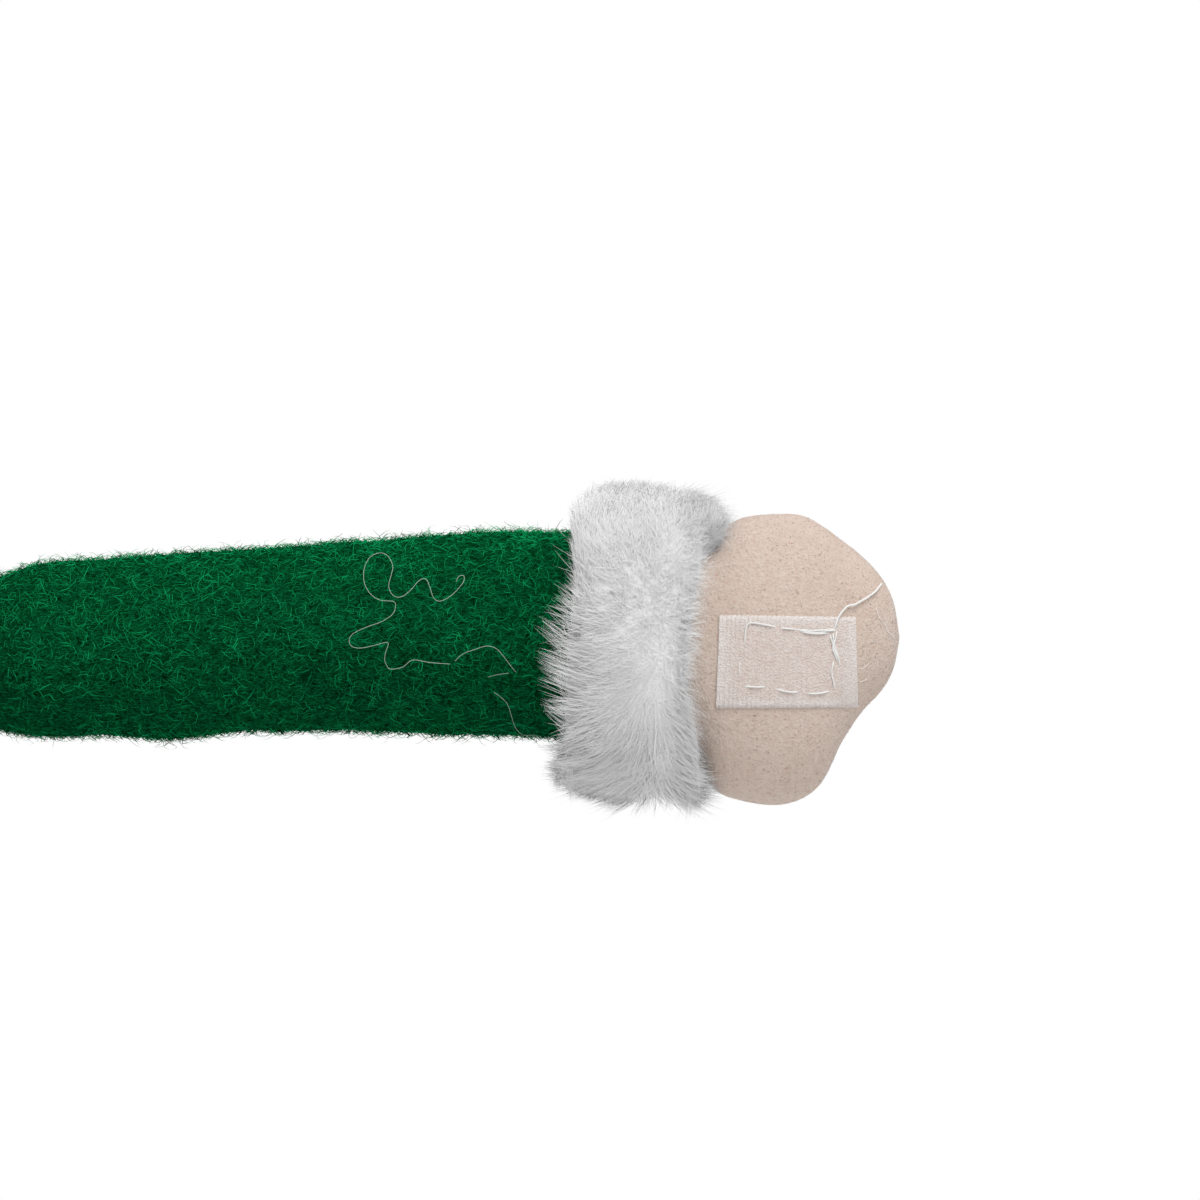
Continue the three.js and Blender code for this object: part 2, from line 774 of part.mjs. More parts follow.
function torso() {
  const group = new THREE.Group();
  group.add(
    piece("jacket", jacket(), greenFelt),
    piece("torso_filling", torsoFilling(), fibreFilling),
    piece("neck", neck(), skinPlush),
    piece("hem_trim", hemTrim(), whiteFur),
    piece("trouser_seat", trouserSeat(), greenFelt),
    piece("collar_trim", collarTrim(), whiteFur),
    ...buttonShares.map((share, i) =>
      piece(`pompom_button_${i + 1}`, pompomButton(share), whiteFur),
    ),
  );
  return group;
}

function headGroup() {
  const group = new THREE.Group();
  const otherEar = ear().scale(-1, 1, 1);
  otherEar.index.array.reverse();
  group.add(
    piece("head", head(), skinPlush),
    piece("head_filling", headFilling(), fibreFilling),
    piece("nose", nose(), nosePlush),
    piece("left_eye", eye(1), blackBead),
    piece("right_eye", eye(-1), blackBead),
    piece("left_ear", ear(), skinPlush),
    piece("right_ear", otherEar, skinPlush),
    piece("hat", hat(), greenFelt),
    piece("hat_filling", hatFilling(), fibreFilling),
    piece("hat_trim", hatTrim(), whiteFur),
    piece("hat_pompom", hatPompom(), whiteFur),
  );
  return group;
}

const doll = new THREE.Group();
doll.name = "elf_doll";
doll.position.y = bodyY;
doll.add(torso(), headGroup(), arm("left", 1), arm("right", -1), leg("left", 1), leg("right", -1));

export default doll;
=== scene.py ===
# Looks of the elf doll: felt suit, faux fur trims, plush skin, stitched tape and loose threads.
# Shapes are worked out in millimetres in the frame of the CAD part and written in metres.
# +Z is up, the doll faces -Y, and its left arm points along +X.
import itertools

import bpy
import numpy as np
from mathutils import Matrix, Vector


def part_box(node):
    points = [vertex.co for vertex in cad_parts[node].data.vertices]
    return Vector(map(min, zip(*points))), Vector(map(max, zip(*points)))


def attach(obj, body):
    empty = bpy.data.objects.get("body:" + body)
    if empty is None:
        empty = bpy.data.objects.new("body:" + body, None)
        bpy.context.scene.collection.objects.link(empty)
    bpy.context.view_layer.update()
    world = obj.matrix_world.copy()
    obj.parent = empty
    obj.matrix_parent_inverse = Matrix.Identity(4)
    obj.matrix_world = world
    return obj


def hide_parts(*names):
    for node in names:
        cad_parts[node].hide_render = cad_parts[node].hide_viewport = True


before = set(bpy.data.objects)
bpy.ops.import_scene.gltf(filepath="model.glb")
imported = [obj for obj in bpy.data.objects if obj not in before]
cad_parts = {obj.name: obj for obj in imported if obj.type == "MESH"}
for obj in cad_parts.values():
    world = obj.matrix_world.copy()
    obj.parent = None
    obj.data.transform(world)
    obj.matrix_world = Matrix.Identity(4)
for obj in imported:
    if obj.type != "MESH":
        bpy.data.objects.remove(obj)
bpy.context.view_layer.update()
MM = 0.001

# Sizes of the doll, the same as in its CAD source
BODY_Y = 12.56
SHOULDER_X = 58.35
SHOULDER_Z = 382.284
SLEEVE_START = 3
SLEEVE_LENGTH = 190
SLEEVE_RADII = (15, 22.8)
SLEEVE_DEPTH = 0.92
ARM_RISE = 6.2
ARM_RISE_POWER = 1.25
ARM_REACH = 236.5
GUSSET_RADIUS = 15
CUFF_MIDDLE = 179
CUFF_TILT = np.radians(5)
CUFF_RADII = (22.6, 31.2)
CUFF_HALF_WIDTH = 12.6
HAND_SQUARENESS = 2.3
TORSO_BOTTOM = 255.3
TORSO_TOP = 403.3
HEAD_MIDDLE = 470.3
HEAD_RADIUS = 57
HEAD_HALF_HEIGHT = 54
BRIM_HEIGHT = 493.3
BRIM_RADIUS = 53.87
HIP_X = 32
HIP_Z = 235

# Past the wrist, height above the arm's middle line, depth below it, half the thickness
HAND_STATIONS = [
    (-12, 20.1, 20.1, 18.2),
    (0, 20.6, 23, 18.6),
    (7, 23.4, 31.2, 18),
    (13, 26.9, 33.8, 17.3),
    (20, 27.8, 34.7, 16.4),
    (26, 27.5, 33.4, 15.4),
    (30.4, 25.3, 29.6, 14.3),
    (34.4, 22.3, 21.4, 12.9),
    (38.7, 18.8, 14.9, 11.1),
    (42.8, 14.4, 10.5, 8.7),
    (45.5, 9.1, 5.7, 5.7),
    (46.9, 1.7, -0.8, 0.4),
]
# Height above the jacket's bottom, half the width and half the depth
JACKET_STATIONS = [
    (0, 44, 34),
    (1.2, 50, 39),
    (5, 55, 44),
    (15, 58.5, 47),
    (27, 60, 48),
    (43, 59, 47.3),
    (59, 57, 45.5),
    (75, 54.4, 42.9),
    (92, 51.4, 40),
    (104, 48.3, 37.2),
    (116, 45.2, 34.5),
    (125, 43.6, 32.6),
    (131, 41.8, 30.8),
    (137, 37.6, 28.6),
    (142, 31, 26),
    (146, 24.5, 23),
    (148, 20.5, 20.5),
]
# The same of the seat between the legs
SEAT_STATIONS = [
    (-15.2, 3, 4),
    (-14.6, 6, 7.4),
    (-12.3, 10.2, 13.6),
    (-9.5, 12.6, 16.4),
    (-7, 15, 18.8),
    (-3.5, 18.4, 21),
    (-0.3, 21.8, 22.6),
]
# Sideways and up from the brim, and radius
HAT_STATIONS = [
    (0, -1, 53.9),
    (0, 10, 51.6),
    (0, 22, 48.5),
    (0, 44, 39.8),
    (-3, 66, 31.3),
    (-12, 88, 24.5),
    (-30, 103.5, 19),
    (-52, 106.5, 14),
    (-70, 98, 9.5),
    (-78, 88.5, 5.5),
]
# In front of the leg, height above the floor, half height and half width
BOOT_STATIONS = [
    (-34.5, 19, 3, 4),
    (-32, 19.5, 10, 10.5),
    (-27, 19, 18, 16),
    (-10, 20, 24, 20.5),
    (12, 19, 23.5, 21.5),
    (36, 15, 18.5, 20.5),
    (56, 13.5, 13.5, 17),
    (71, 18, 10.5, 12.5),
    (80.5, 28, 8, 8.5),
    (83.5, 40, 5.4, 5.4),
    (81, 48.5, 2.5, 2.5),
]

# Camera of the photograph: millimetres to a pixel of its 1200 by 1200 frame where the arm lies, how far
# in front of the arm it stands, its place and its lens
PIXEL = 0.2145
CAMERA_DISTANCE = 858
CAMERA_X = 231.06
CAMERA_Z = 395.8
SENSOR_WIDTH = 36
FOCAL_LENGTH = 120

# Strength of the white surroundings: as light on the doll, and as the camera sees them
AMBIENT = 0.54
BACKDROP = 1.0

# Colours as linear values
# Pit colours are painted shade of the hollows between felt fibres, and the green one also of its fibres'
# roots
GREEN_PIT_PAINTED_SHADE = (0.0005, 0.014, 0.0036)
GREEN_DARK = (0.001, 0.060, 0.0155)
GREEN_LIGHT = (0.004, 0.25, 0.078)
GREEN_FIBRE = (0.006, 0.42, 0.132)
GREEN_STRAY = (0.010, 0.52, 0.175)
WHITE_BACK_DARK = (0.91, 0.91, 0.91)
WHITE_BACK_LIGHT = (0.96, 0.96, 0.96)
WHITE_ROOT = (0.95, 0.95, 0.95)
WHITE_TIP = (0.98, 0.98, 0.98)
SKIN_DARK = (0.60, 0.46, 0.378)
SKIN_LIGHT = (0.735, 0.615, 0.54)
SKIN_FIBRE = (0.78, 0.68, 0.61)
SKIN_SPECK = (0.52, 0.27, 0.19)
CHEEK = (0.80, 0.36, 0.30)
NOSE_DARK = (0.60, 0.28, 0.21)
NOSE_LIGHT = (0.74, 0.42, 0.34)
NOSE_FIBRE = (0.80, 0.48, 0.40)
TAPE_CLEAR = (0.69, 0.57, 0.505)
TAPE_MILKY = (0.82, 0.755, 0.725)
# Painted shade of the hollows in the brown felt
BROWN_PIT_PAINTED_SHADE = (0.02, 0.007, 0.003)
BROWN_DARK = (0.055, 0.02, 0.009)
BROWN_LIGHT = (0.16, 0.07, 0.033)
BROWN_FIBRE = (0.22, 0.105, 0.055)
# Painted shade of the hollows in the sole felt
SOLE_PIT_PAINTED_SHADE = (0.008, 0.004, 0.003)
SOLE_DARK = (0.02, 0.011, 0.007)
SOLE_LIGHT = (0.05, 0.03, 0.02)
WHITE_THREAD = (0.88, 0.875, 0.86)
GREY_THREAD = (0.36, 0.46, 0.38)
BROWN_THREAD = (0.10, 0.035, 0.02)
RED_THREAD = (0.42, 0.05, 0.04)
BEAD = (0.006, 0.006, 0.007)
FILLING = (0.85, 0.84, 0.80)
FLOOR = (0.9, 0.9, 0.9)


# Numbers and places

def unit(vectors):
    """Vectors divided by their lengths."""
    return vectors / np.maximum(np.linalg.norm(vectors, axis=-1, keepdims=True), 1e-12)


def places(*columns):
    """Places whose coordinates are the three given arrays or numbers."""
    return np.stack(np.broadcast_arrays(*columns), axis=-1).astype(float)


def through(stations, share):
    """Smooth line through a table of stations, evenly by station as share runs from 0 to 1: between
    two stations it is the cubic whose slopes there are the mean slopes of their neighbours."""
    table = np.asarray(stations, float)
    place = np.clip(share, 0, 1) * (len(table) - 1)
    low = np.minimum(np.floor(place).astype(int), len(table) - 2)
    part = (place - low)[..., None]
    slope = np.gradient(table, axis=0)
    cube, square = part**3, part**2
    return (
        (2 * cube - 3 * square + 1) * table[low]
        + (cube - 2 * square + part) * slope[low]
        + (3 * square - 2 * cube) * table[low + 1]
        + (cube - square) * slope[low + 1]
    )


def noise(where, size, seed):
    """Smooth random height from -1 to 1 in space: random values on a cubic lattice with the given
    step, blended between the eight corners of each cell by the curve 3 x squared - 2 x cubed."""
    scaled = where / size + 19.19 * seed
    cell = np.floor(scaled).astype(np.int64)
    part = scaled - cell
    part = part * part * (3 - 2 * part)
    total = 0
    for corner in itertools.product((0, 1), repeat=3):
        x, y, z = np.moveaxis(cell + corner, -1, 0)
        mixed = (x * 73856093) ^ (y * 19349663) ^ (z * 83492791) ^ (seed * 40503)
        mixed = ((mixed ^ (mixed >> 13)) * 60493) & 0x7FFFFFFF
        mixed = (mixed ^ (mixed >> 7)) & 0xFFFF
        weight = np.prod(np.where(corner, part, 1 - part), axis=-1)
        total = total + weight * (mixed / 32767.5 - 1)
    return total


def along_line(stations, u):
    """Stations at u as columns, and the heading in their plane of the line through the first two."""
    step = 0.004
    ahead = through(stations, np.minimum(u + step, 1)) - through(stations, np.maximum(u - step, 0))
    return *np.moveaxis(through(stations, u), -1, 0), unit(ahead[..., :2])


def bulge(value, power):
    """Sine or cosine raised to 2 / power with its sign kept, which squares a round section up."""
    return np.sign(value) * np.abs(value) ** (2 / power)


def hump(value, middle, width):
    """Bell curve: e to the power of minus the square of the distance over the width."""
    return np.exp(-(((value - middle) / width) ** 2))


def circled(radius, turn, height, centre=(0, 0, 0)):
    """Places on circles about an upright line, turned from the front over the doll's left."""
    return np.asarray(centre) + places(radius * np.sin(turn), -radius * np.cos(turn), height)


# Shapes of the pieces, each a function of u and v from 0 to 1. Along a limb or a stack u runs from
# one end to the other, and v runs round, from the front over the top or the left side.

def arm_middle(along):
    """Height of the arm's middle line: the rise times a sine that reaches its top past the elbow."""
    share = np.clip(along / ARM_REACH, 0, 1)
    return ARM_RISE * np.sin(np.pi * share**ARM_RISE_POWER)


def sleeve_radius(along):
    """Quarter sine from the shoulder's radius to the wrist's."""
    low, high = SLEEVE_RADII
    return low + (high - low) * np.sin(np.pi / 2 * np.clip(along / SLEEVE_LENGTH, 0, 1))


def in_arm(side, along, deep, high):
    """Place in the doll from distance along the arm, in front of it and above its pivot."""
    return places(side * (SHOULDER_X + along), BODY_Y - deep, SHOULDER_Z + high)


def sleeve(side):
    def shape(u, v):
        """Ellipse swept along the arm's middle line, with pleats at the shoulder, a full place below
        the elbow and soft unevenness of the stuffing."""
        along = SLEEVE_START + u * (SLEEVE_LENGTH - SLEEVE_START)
        turn = 2 * np.pi * v
        below, above = np.clip(-np.sin(turn), 0, 1), np.clip(np.sin(turn), 0, 1)
        radius = sleeve_radius(along) - 0.35 - 0.6 * below
        radius = radius + 0.9 * hump(along, 55, 8) - 1.3 * hump(along, 42, 6.5) * (1 - 0.6 * below)
        radius = radius + 1.7 * hump(along, 80, 11) * below - 1.3 * hump(along, 115, 30) * above
        radius = radius + 0.5 * np.exp(-along / 7) * np.cos(14 * turn) - 0.5 * np.exp(-along / 14)
        flat = in_arm(side, along, radius * SLEEVE_DEPTH * np.cos(turn), radius * np.sin(turn))
        radius = radius + 0.42 * noise(flat, 17, 3) + 0.3 * noise(flat, 7, 4)
        high = radius * np.sin(turn) + arm_middle(along) - 0.55 * hump(along, 60, 20)
        return in_arm(side, along, radius * SLEEVE_DEPTH * np.cos(turn), high)
    return shape


def gusset(side):
    def shape(u, v):
        """Ball round the shoulder pivot, gathered in small pleats that run along the arm."""
        lean, turn = np.pi * (0.02 + 0.96 * u), 2 * np.pi * v
        radius = GUSSET_RADIUS - 0.35 + 0.3 * np.sin(lean) * np.cos(18 * turn)
        across = radius * np.sin(lean)
        return in_arm(side, -radius * np.cos(lean), across * np.cos(turn), across * np.sin(turn))
    return shape


def tilted(side, out, across, turn):
    """Place on the cuff: out from the arm's middle line, across along the line, turned from the
    front over the top, on a squared ring that leans towards the hand at the top."""
    high = out * bulge(np.sin(turn), 2.8)
    along = CUFF_MIDDLE + across * np.cos(CUFF_TILT) + high * np.sin(CUFF_TILT)
    up = high * np.cos(CUFF_TILT) - across * np.sin(CUFF_TILT)
    deep = 0.93 * out * bulge(np.cos(turn), 2.8)
    return in_arm(side, along, deep, up + arm_middle(CUFF_MIDDLE))


def cuff(side):
    def shape(u, v):
        """Ring with a domed outside: half width times a squared cosine across, and between the
        inner and outer radius by a squared sine. It is drawn in a little at the front."""
        lean, turn = 2 * np.pi * u, 2 * np.pi * v
        inner, outer = CUFF_RADII
        rise = np.sin(lean)
        out = inner + np.where(rise > 0, outer - inner + 0.8, 0.6) * bulge(rise, 4)
        across = 0.7 + CUFF_HALF_WIDTH * bulge(np.cos(lean), 4)
        top, bottom = hump(np.sin(turn), 1, 0.5), hump(np.sin(turn), -1, 0.6)
        corner = hump(np.sin(turn), 1, np.where(np.cos(turn) > 0, 0.13, 0.5))
        out = out - (0.5 + 0.013 * (across - 3) ** 2) * top + (0.02 * across - 1.1) * bottom
        right, left = np.cos(lean).clip(0), (-np.cos(lean)).clip(0)
        across = across + 5.2 * right * corner - 0.9 * top + (1.6 * right + 1) * bottom
        across = across + (0.9 * left - 2.0 * right) * hump(np.sin(turn), -0.1, 0.6)
        ring = tilted(side, out, across, turn)
        out = out + 0.5 * noise(ring, 9, 8) * (rise > 0)
        return tilted(side, out, across, turn)
    return shape


WRIST_MIDDLE = arm_middle(SLEEVE_LENGTH)


def hand(side):
    def shape(u, v):
        """Squared ellipses through the hand's stations, with a shallow seam round the edge and soft
        unevenness of the stuffing."""
        past, top, bottom, half = np.moveaxis(through(HAND_STATIONS, u), -1, 0)
        turn = 2 * np.pi * v
        middle, high = (top - bottom) / 2, (top + bottom) / 2
        uneven = 1 - 0.006 * hump(np.cos(turn), 0, 0.07)
        rough = in_arm(side, past, half * np.cos(turn), high * np.sin(turn))
        uneven = uneven + 0.008 * noise(rough, 11, 5) + 0.004 * noise(rough, 5, 6)
        deep = half * uneven * bulge(np.cos(turn), HAND_SQUARENESS)
        up = middle + high * uneven * bulge(np.sin(turn), HAND_SQUARENESS)
        return in_arm(side, SLEEVE_LENGTH + past, deep, WRIST_MIDDLE + up)
    return shape


def palm_depth(along, height):
    """How far the palm's front lies in front of the arm's middle plane."""
    shares = np.linspace(0, 1, 400)
    table = through(HAND_STATIONS, shares)
    share = np.interp(along - SLEEVE_LENGTH, table[:, 0], shares)
    top, bottom, half = np.moveaxis(through(HAND_STATIONS, share)[..., 1:], -1, 0)
    above = height - WRIST_MIDDLE - (top - bottom) / 2
    across = np.clip(np.abs(above) / ((top + bottom) / 2), 0, 1)
    return half * (1 - across**HAND_SQUARENESS) ** (1 / HAND_SQUARENESS)


def sleeve_depth(along, height):
    """How far the sleeve's front lies in front of the arm's middle plane."""
    across = np.clip(np.abs(height - arm_middle(along)) / sleeve_radius(along), 0, 1)
    return sleeve_radius(along) * SLEEVE_DEPTH * np.sqrt(1 - across**2)


def stacked(stations, bottom, power, wrinkle, seed):
    """Shape of squared ellipses stacked on each other: height, half width and half depth."""
    def shape(u, v):
        """Squared ellipse at the smooth station for u, uneven by two sizes of noise."""
        height, wide, deep = np.moveaxis(through(stations, u), -1, 0)
        turn = 2 * np.pi * v
        x, y = wide * bulge(np.sin(turn), power), -deep * bulge(np.cos(turn), power)
        ring = places(x, BODY_Y + y, bottom + height)
        uneven = 1 + (wrinkle * noise(ring, 21, seed) + 0.5 * wrinkle * noise(ring, 8, seed)) / 45
        return places(x * uneven, BODY_Y + y * uneven, bottom + height)
    return shape


def trim_band(centre, bore, out, half_height, seed, depth_share=1.0):
    def shape(u, v):
        """Ring round an upright line with a domed outside, uneven by noise."""
        lean, turn = 2 * np.pi * u, 2 * np.pi * v
        rise = np.sin(lean)
        radius = bore + np.where(rise > 0, out - bore, 0.6) * bulge(rise, 2.5)
        high = half_height * bulge(np.cos(lean), 2.5)
        ring = circled(radius, turn, high)
        radius = radius + 0.8 * noise(ring, 10, seed) * (rise > 0)
        across, deep = radius * np.sin(turn), radius * depth_share * np.cos(turn)
        return np.asarray(centre) + places(across, -deep, high)
    return shape


def torus(centre, ring, thick, seed):
    def shape(u, v):
        """Round tube bent into a ring about an upright line, uneven by noise."""
        lean, turn = 2 * np.pi * u, 2 * np.pi * v
        circle = places(ring * np.sin(turn), ring * np.cos(turn), 0)
        lump = thick * (1 + 0.1 * noise(circle, 14, seed))
        return circled(ring + lump * np.cos(lean), turn, lump * np.sin(lean), centre)
    return shape


def ball(centre, radii):
    def shape(u, v):
        """Ball or ellipsoid: sine and cosine of a lean from its top to its bottom."""
        lean, turn = np.pi * (0.015 + 0.97 * u), 2 * np.pi * v
        return np.asarray(centre) + np.asarray(radii) * places(
            np.sin(lean) * np.sin(turn), -np.sin(lean) * np.cos(turn), np.cos(lean)
        )
    return shape


def head(u, v):
    """Ellipsoid, drawn in softly at the eyes and full at the cheeks."""
    lean, turn = np.pi * (0.012 + 0.86 * u), 2 * np.pi * v
    sideways, front, up = np.sin(lean) * np.sin(turn), np.sin(lean) * np.cos(turn), np.cos(lean)
    full = 1 + 0.02 * hump(up, -0.28, 0.25) * hump(np.abs(sideways), 0.5, 0.25) * (front > 0)
    full = full - 0.016 * hump(up, 0.08, 0.12) * hump(np.abs(sideways), 0.34, 0.13) * (front > 0)
    return places(
        HEAD_RADIUS * full * sideways,
        BODY_Y - HEAD_RADIUS * full * front,
        HEAD_MIDDLE + HEAD_HALF_HEIGHT * up,
    )


def face_depth(across, rise):
    """Y of the head's front at a place across and above its middle."""
    square = 1 - (rise / HEAD_HALF_HEIGHT) ** 2 - (across / HEAD_RADIUS) ** 2
    return BODY_Y - HEAD_RADIUS * np.sqrt(np.maximum(square, 0))


# Sideways and above the middle of the ear: root, the point that draws the edge out, and tip
EAR_LOWER_EDGE = ((49, -15.5), (84, -12.5), (88.5, 17))
EAR_UPPER_EDGE = ((49, 13), (73, 10.5), (88.5, 17.6))


def parabola(points, u):
    """Parabola from the first of three points to the last, drawn out towards the second."""
    rest = 1 - u
    return [low * rest**2 + 2 * middle * u * rest + high * u**2 for low, middle, high in zip(*points)]


def ear(side):
    def shape(u, v):
        """Leaf from root to tip: its lower and upper edges are two parabolas, it is thickest at the
        root, and its front is hollowed along the middle."""
        x_low, z_low = parabola(EAR_LOWER_EDGE, u)
        x_high, z_high = parabola(EAR_UPPER_EDGE, u)
        turn = 2 * np.pi * v
        share = (1 - np.sin(turn)) / 2
        thick = 4.2 * (1 - 0.72 * u) * bulge(np.cos(turn), 2.4)
        hollow = 2.4 * np.sin(np.pi * np.clip(u * 1.1, 0, 1)) * np.cos(turn).clip(0) ** 2
        x = x_high + (x_low - x_high) * share
        z = z_high + (z_low - z_high) * share
        return places(side * x, BODY_Y + 4 - thick + hollow, HEAD_MIDDLE - 8 + z)
    return shape


def hat(u, v):
    """Circles square to the hat's bent middle line, with folds where it bends."""
    side, up, radius, heading = along_line(HAT_STATIONS, u)
    turn = 2 * np.pi * v
    fold = hump(u, 0.55, 0.17) * (0.9 * np.sin(46 * u) + 0.5 * np.sin(23 * u + 2))
    radius = radius + 1.6 * (fold * np.clip(-np.sin(turn), 0, 1))
    sideways = radius * np.sin(turn)
    x, z = side + sideways * heading[..., 1], up - sideways * heading[..., 0]
    at = places(x, -radius * np.cos(turn), z)
    at = at * (1 + 0.02 * noise(at, 19, 41)[..., None] * places(1, 1, 0))
    return at + np.array((0, BODY_Y, BRIM_HEIGHT))


def trouser_leg(side):
    def shape(u, v):
        """Round tube with a domed top at the hip, that swells a little and wrinkles at the ankle."""
        down = -20 + 197 * u
        dome = np.sqrt(np.clip(1 - (np.minimum(down, 0) / 20.3) ** 2, 0, 1))
        share = np.clip(down / 177, 0, 1)
        radius = (18.9 + 1.2 * share + 1.4 * np.sin(np.pi * share)) * dome
        turn = 2 * np.pi * v
        wrinkle = hump(share, 0.82, 0.13) * np.sin(34 * share + 1.4 * np.sin(turn))
        radius = radius + 0.55 * wrinkle * dome
        rough = circled(radius, turn, -down)
        radius = radius + (0.3 * noise(rough, 18, 51 + side) + 0.2 * noise(rough, 7, 52)) * dome
        return circled(radius, turn, -down, (side * HIP_X, BODY_Y, HIP_Z))
    return shape


def boot_foot(side):
    def shape(u, v):
        """Squared ellipses square to the foot's middle line, from the heel to the curled toe, flat
        where they stand on the sole."""
        front, height, high, wide, heading = along_line(BOOT_STATIONS, u)
        turn = 2 * np.pi * v
        across, up = wide * bulge(np.sin(turn), 2.2), high * bulge(np.cos(turn), 2.2)
        y = -(front - up * heading[..., 1])
        z = np.maximum(height + up * heading[..., 0], 3.3)
        return places(side * HIP_X + across, BODY_Y + y, z)
    return shape


def boot_shaft(side):
    def shape(u, v):
        """Round post that turns inwards at its top edge, creased just above the foot."""
        turn = 2 * np.pi * v
        height = 18 + 41.3 * u
        radius = 20.9 - 3 * np.clip((u - 0.96) / 0.04, 0, 1) - 0.5 * hump(height, 45, 1.6)
        return circled(radius, turn, height, (side * HIP_X, BODY_Y, 0))
    return shape


# Meshes

def build(name, corners, *faces):
    """Mesh object from places in millimetres and arrays of faces, turned to point outwards."""
    first = corners - corners.mean(0)
    loops = np.concatenate([group.ravel() for group in faces])
    sizes = np.concatenate([np.full(len(group), group.shape[1]) for group in faces])
    fan = np.concatenate([group[:, :3] for group in faces])
    a, b, c = first[fan[:, 0]], first[fan[:, 1]], first[fan[:, 2]]
    if np.einsum("ij,ij->", a, np.cross(b, c)) < 0:
        loops = np.concatenate([group[:, ::-1].ravel() for group in faces])
    mesh = bpy.data.meshes.new(name)
    mesh.vertices.add(len(corners))
    mesh.vertices.foreach_set("co", (corners * MM).astype(np.float32).ravel())
    mesh.loops.add(len(loops))
    mesh.loops.foreach_set("vertex_index", loops.astype(np.int32))
    mesh.polygons.add(len(sizes))
    mesh.polygons.foreach_set("loop_start", (np.cumsum(sizes) - sizes).astype(np.int32))
    mesh.polygons.foreach_set("use_smooth", np.ones(len(sizes), bool))
    mesh.update(calc_edges=True)
    obj = bpy.data.objects.new(name, mesh)
    bpy.context.collection.objects.link(obj)
    return obj


def write_values(obj, title, values):
    """Number for each vertex, which a material reads by its title."""
    layer = obj.data.attributes.new(title, "FLOAT", "POINT")
    layer.data.foreach_set("value", values.astype(np.float32))


def vertex_values(obj, title):
    """Places or normals of the vertices of an object, in metres."""
    values = np.empty(3 * len(obj.data.vertices), np.float32)
    obj.data.vertices.foreach_get(title, values)
    return values.reshape(-1, 3)


def rings_faces(rows, columns, looped=False):
    """Quads between rings of corners. The last ring joins the first where looped, and else each end
    has a fan to a corner of its own after all the rings."""
    count = rows if looped else rows + 1
    row, column = np.meshgrid(np.arange(rows), np.arange(columns), indexing="ij")
    below, above = row * columns, (row + 1) % count * columns
    right = (column + 1) % columns
    quads = np.stack([below + column, below + right, above + right, above + column], -1)
    if looped:
        return quads.reshape(-1, 4), np.empty((0, 3), int)
    ring, after = np.arange(columns), (np.arange(columns) + 1) % columns
    last, hub = rows * columns, count * columns
    low = np.stack([np.full(columns, hub), after, ring], -1)
    high = np.stack([np.full(columns, hub + 1), last + ring, last + after], -1)
    return quads.reshape(-1, 4), np.concatenate([low, high])


def grid(shape, rows, columns, looped=False):
    """Corners and faces of a shape on a grid that is closed round v, and round u where looped."""
    u = np.arange(rows if looped else rows + 1) / rows
    v = np.arange(columns) / columns
    corners = shape(*np.meshgrid(u, v, indexing="ij")).reshape(-1, 3)
    if not looped:
        hubs = [corners[:columns].mean(0), corners[rows * columns:].mean(0)]
        corners = np.concatenate([corners, hubs])
    return corners, *rings_faces(rows, columns, looped)


def merged(name, parts):
    """One mesh object of several parts, each its corners, quads and fans."""
    starts = np.cumsum([0] + [len(corners) for corners, quads, fans in parts])
    corners, quads, fans = zip(*parts)
    quads, fans = (
        np.concatenate([part + start for part, start in zip(faces, starts)]) for faces in (quads, fans)
    )
    return build(name, np.concatenate(corners), quads, fans)


def surface(name, *grids):
    """Mesh object of shapes, each with its rows and columns and True where it is looped."""
    return merged(name, [grid(*parts) for parts in grids])


def tube(path, radius, sides=6):
    """Corners and faces of a round thread along a path, with rings square to it and closed ends. The
    radius may vary along it."""
    heading = unit(np.gradient(path, axis=0))
    first = unit(np.cross(heading, unit(np.array((0.31, 0.9, 0.17)))))
    second = np.cross(heading, first)
    turn = 2 * np.pi * np.arange(sides) / sides
    radius = np.broadcast_to(radius, len(path))[:, None, None]
    rings = path[:, None] + radius * (
        np.cos(turn)[:, None] * first[:, None] + np.sin(turn)[:, None] * second[:, None]
    )
    corners = np.concatenate([rings.reshape(-1, 3), path[[0, -1]]])
    return corners, *rings_faces(len(path) - 1, sides)


def threads(name, pieces):
    """One mesh object of several threads, each a path and a radius."""
    return merged(name, [tube(path, radius) for path, radius in pieces])


# Fibres

def frames(shape, u, v, outwards):
    """Places on a shape with their outward normals and their directions along v, from differences
    over a small step."""
    step = 1e-4
    place = shape(u, v)
    along = shape(np.minimum(u + step, 1), v) - shape(np.maximum(u - step, 0), v)
    round_ = shape(u, v + step) - shape(u, v - step)
    return place, outwards * unit(np.cross(along, round_)), unit(round_)


def scatter(shape, count, random, keep=None, rows=150, columns=150):
    """Roots of fibres spread evenly over a shape: cells of a grid drawn by their area times the share
    to keep, with a random place in each."""
    u = (np.arange(rows) + 0.5) / rows
    v = (np.arange(columns) + 0.5) / columns
    u, v = (part.ravel() for part in np.meshgrid(u, v, indexing="ij"))
    place = shape(u, v)
    facet = np.cross(
        shape(u + 0.4 / rows, v) - shape(u - 0.4 / rows, v),
        shape(u, v + 0.4 / columns) - shape(u, v - 0.4 / columns),
    )
    outwards = np.sign(np.sum(facet * (place - place.mean(0))))
    weight = np.linalg.norm(facet, axis=-1)
    if keep is not None:
        weight = weight * keep(place, outwards * unit(facet), u, v)
    cells = random.choice(len(weight), count, p=weight / weight.sum())
    u = np.clip(u[cells] + (random.random(count) - 0.5) / rows, 1e-4, 1 - 1e-4)
    v = v[cells] + (random.random(count) - 0.5) / columns
    return *frames(shape, u, v, outwards), u, v


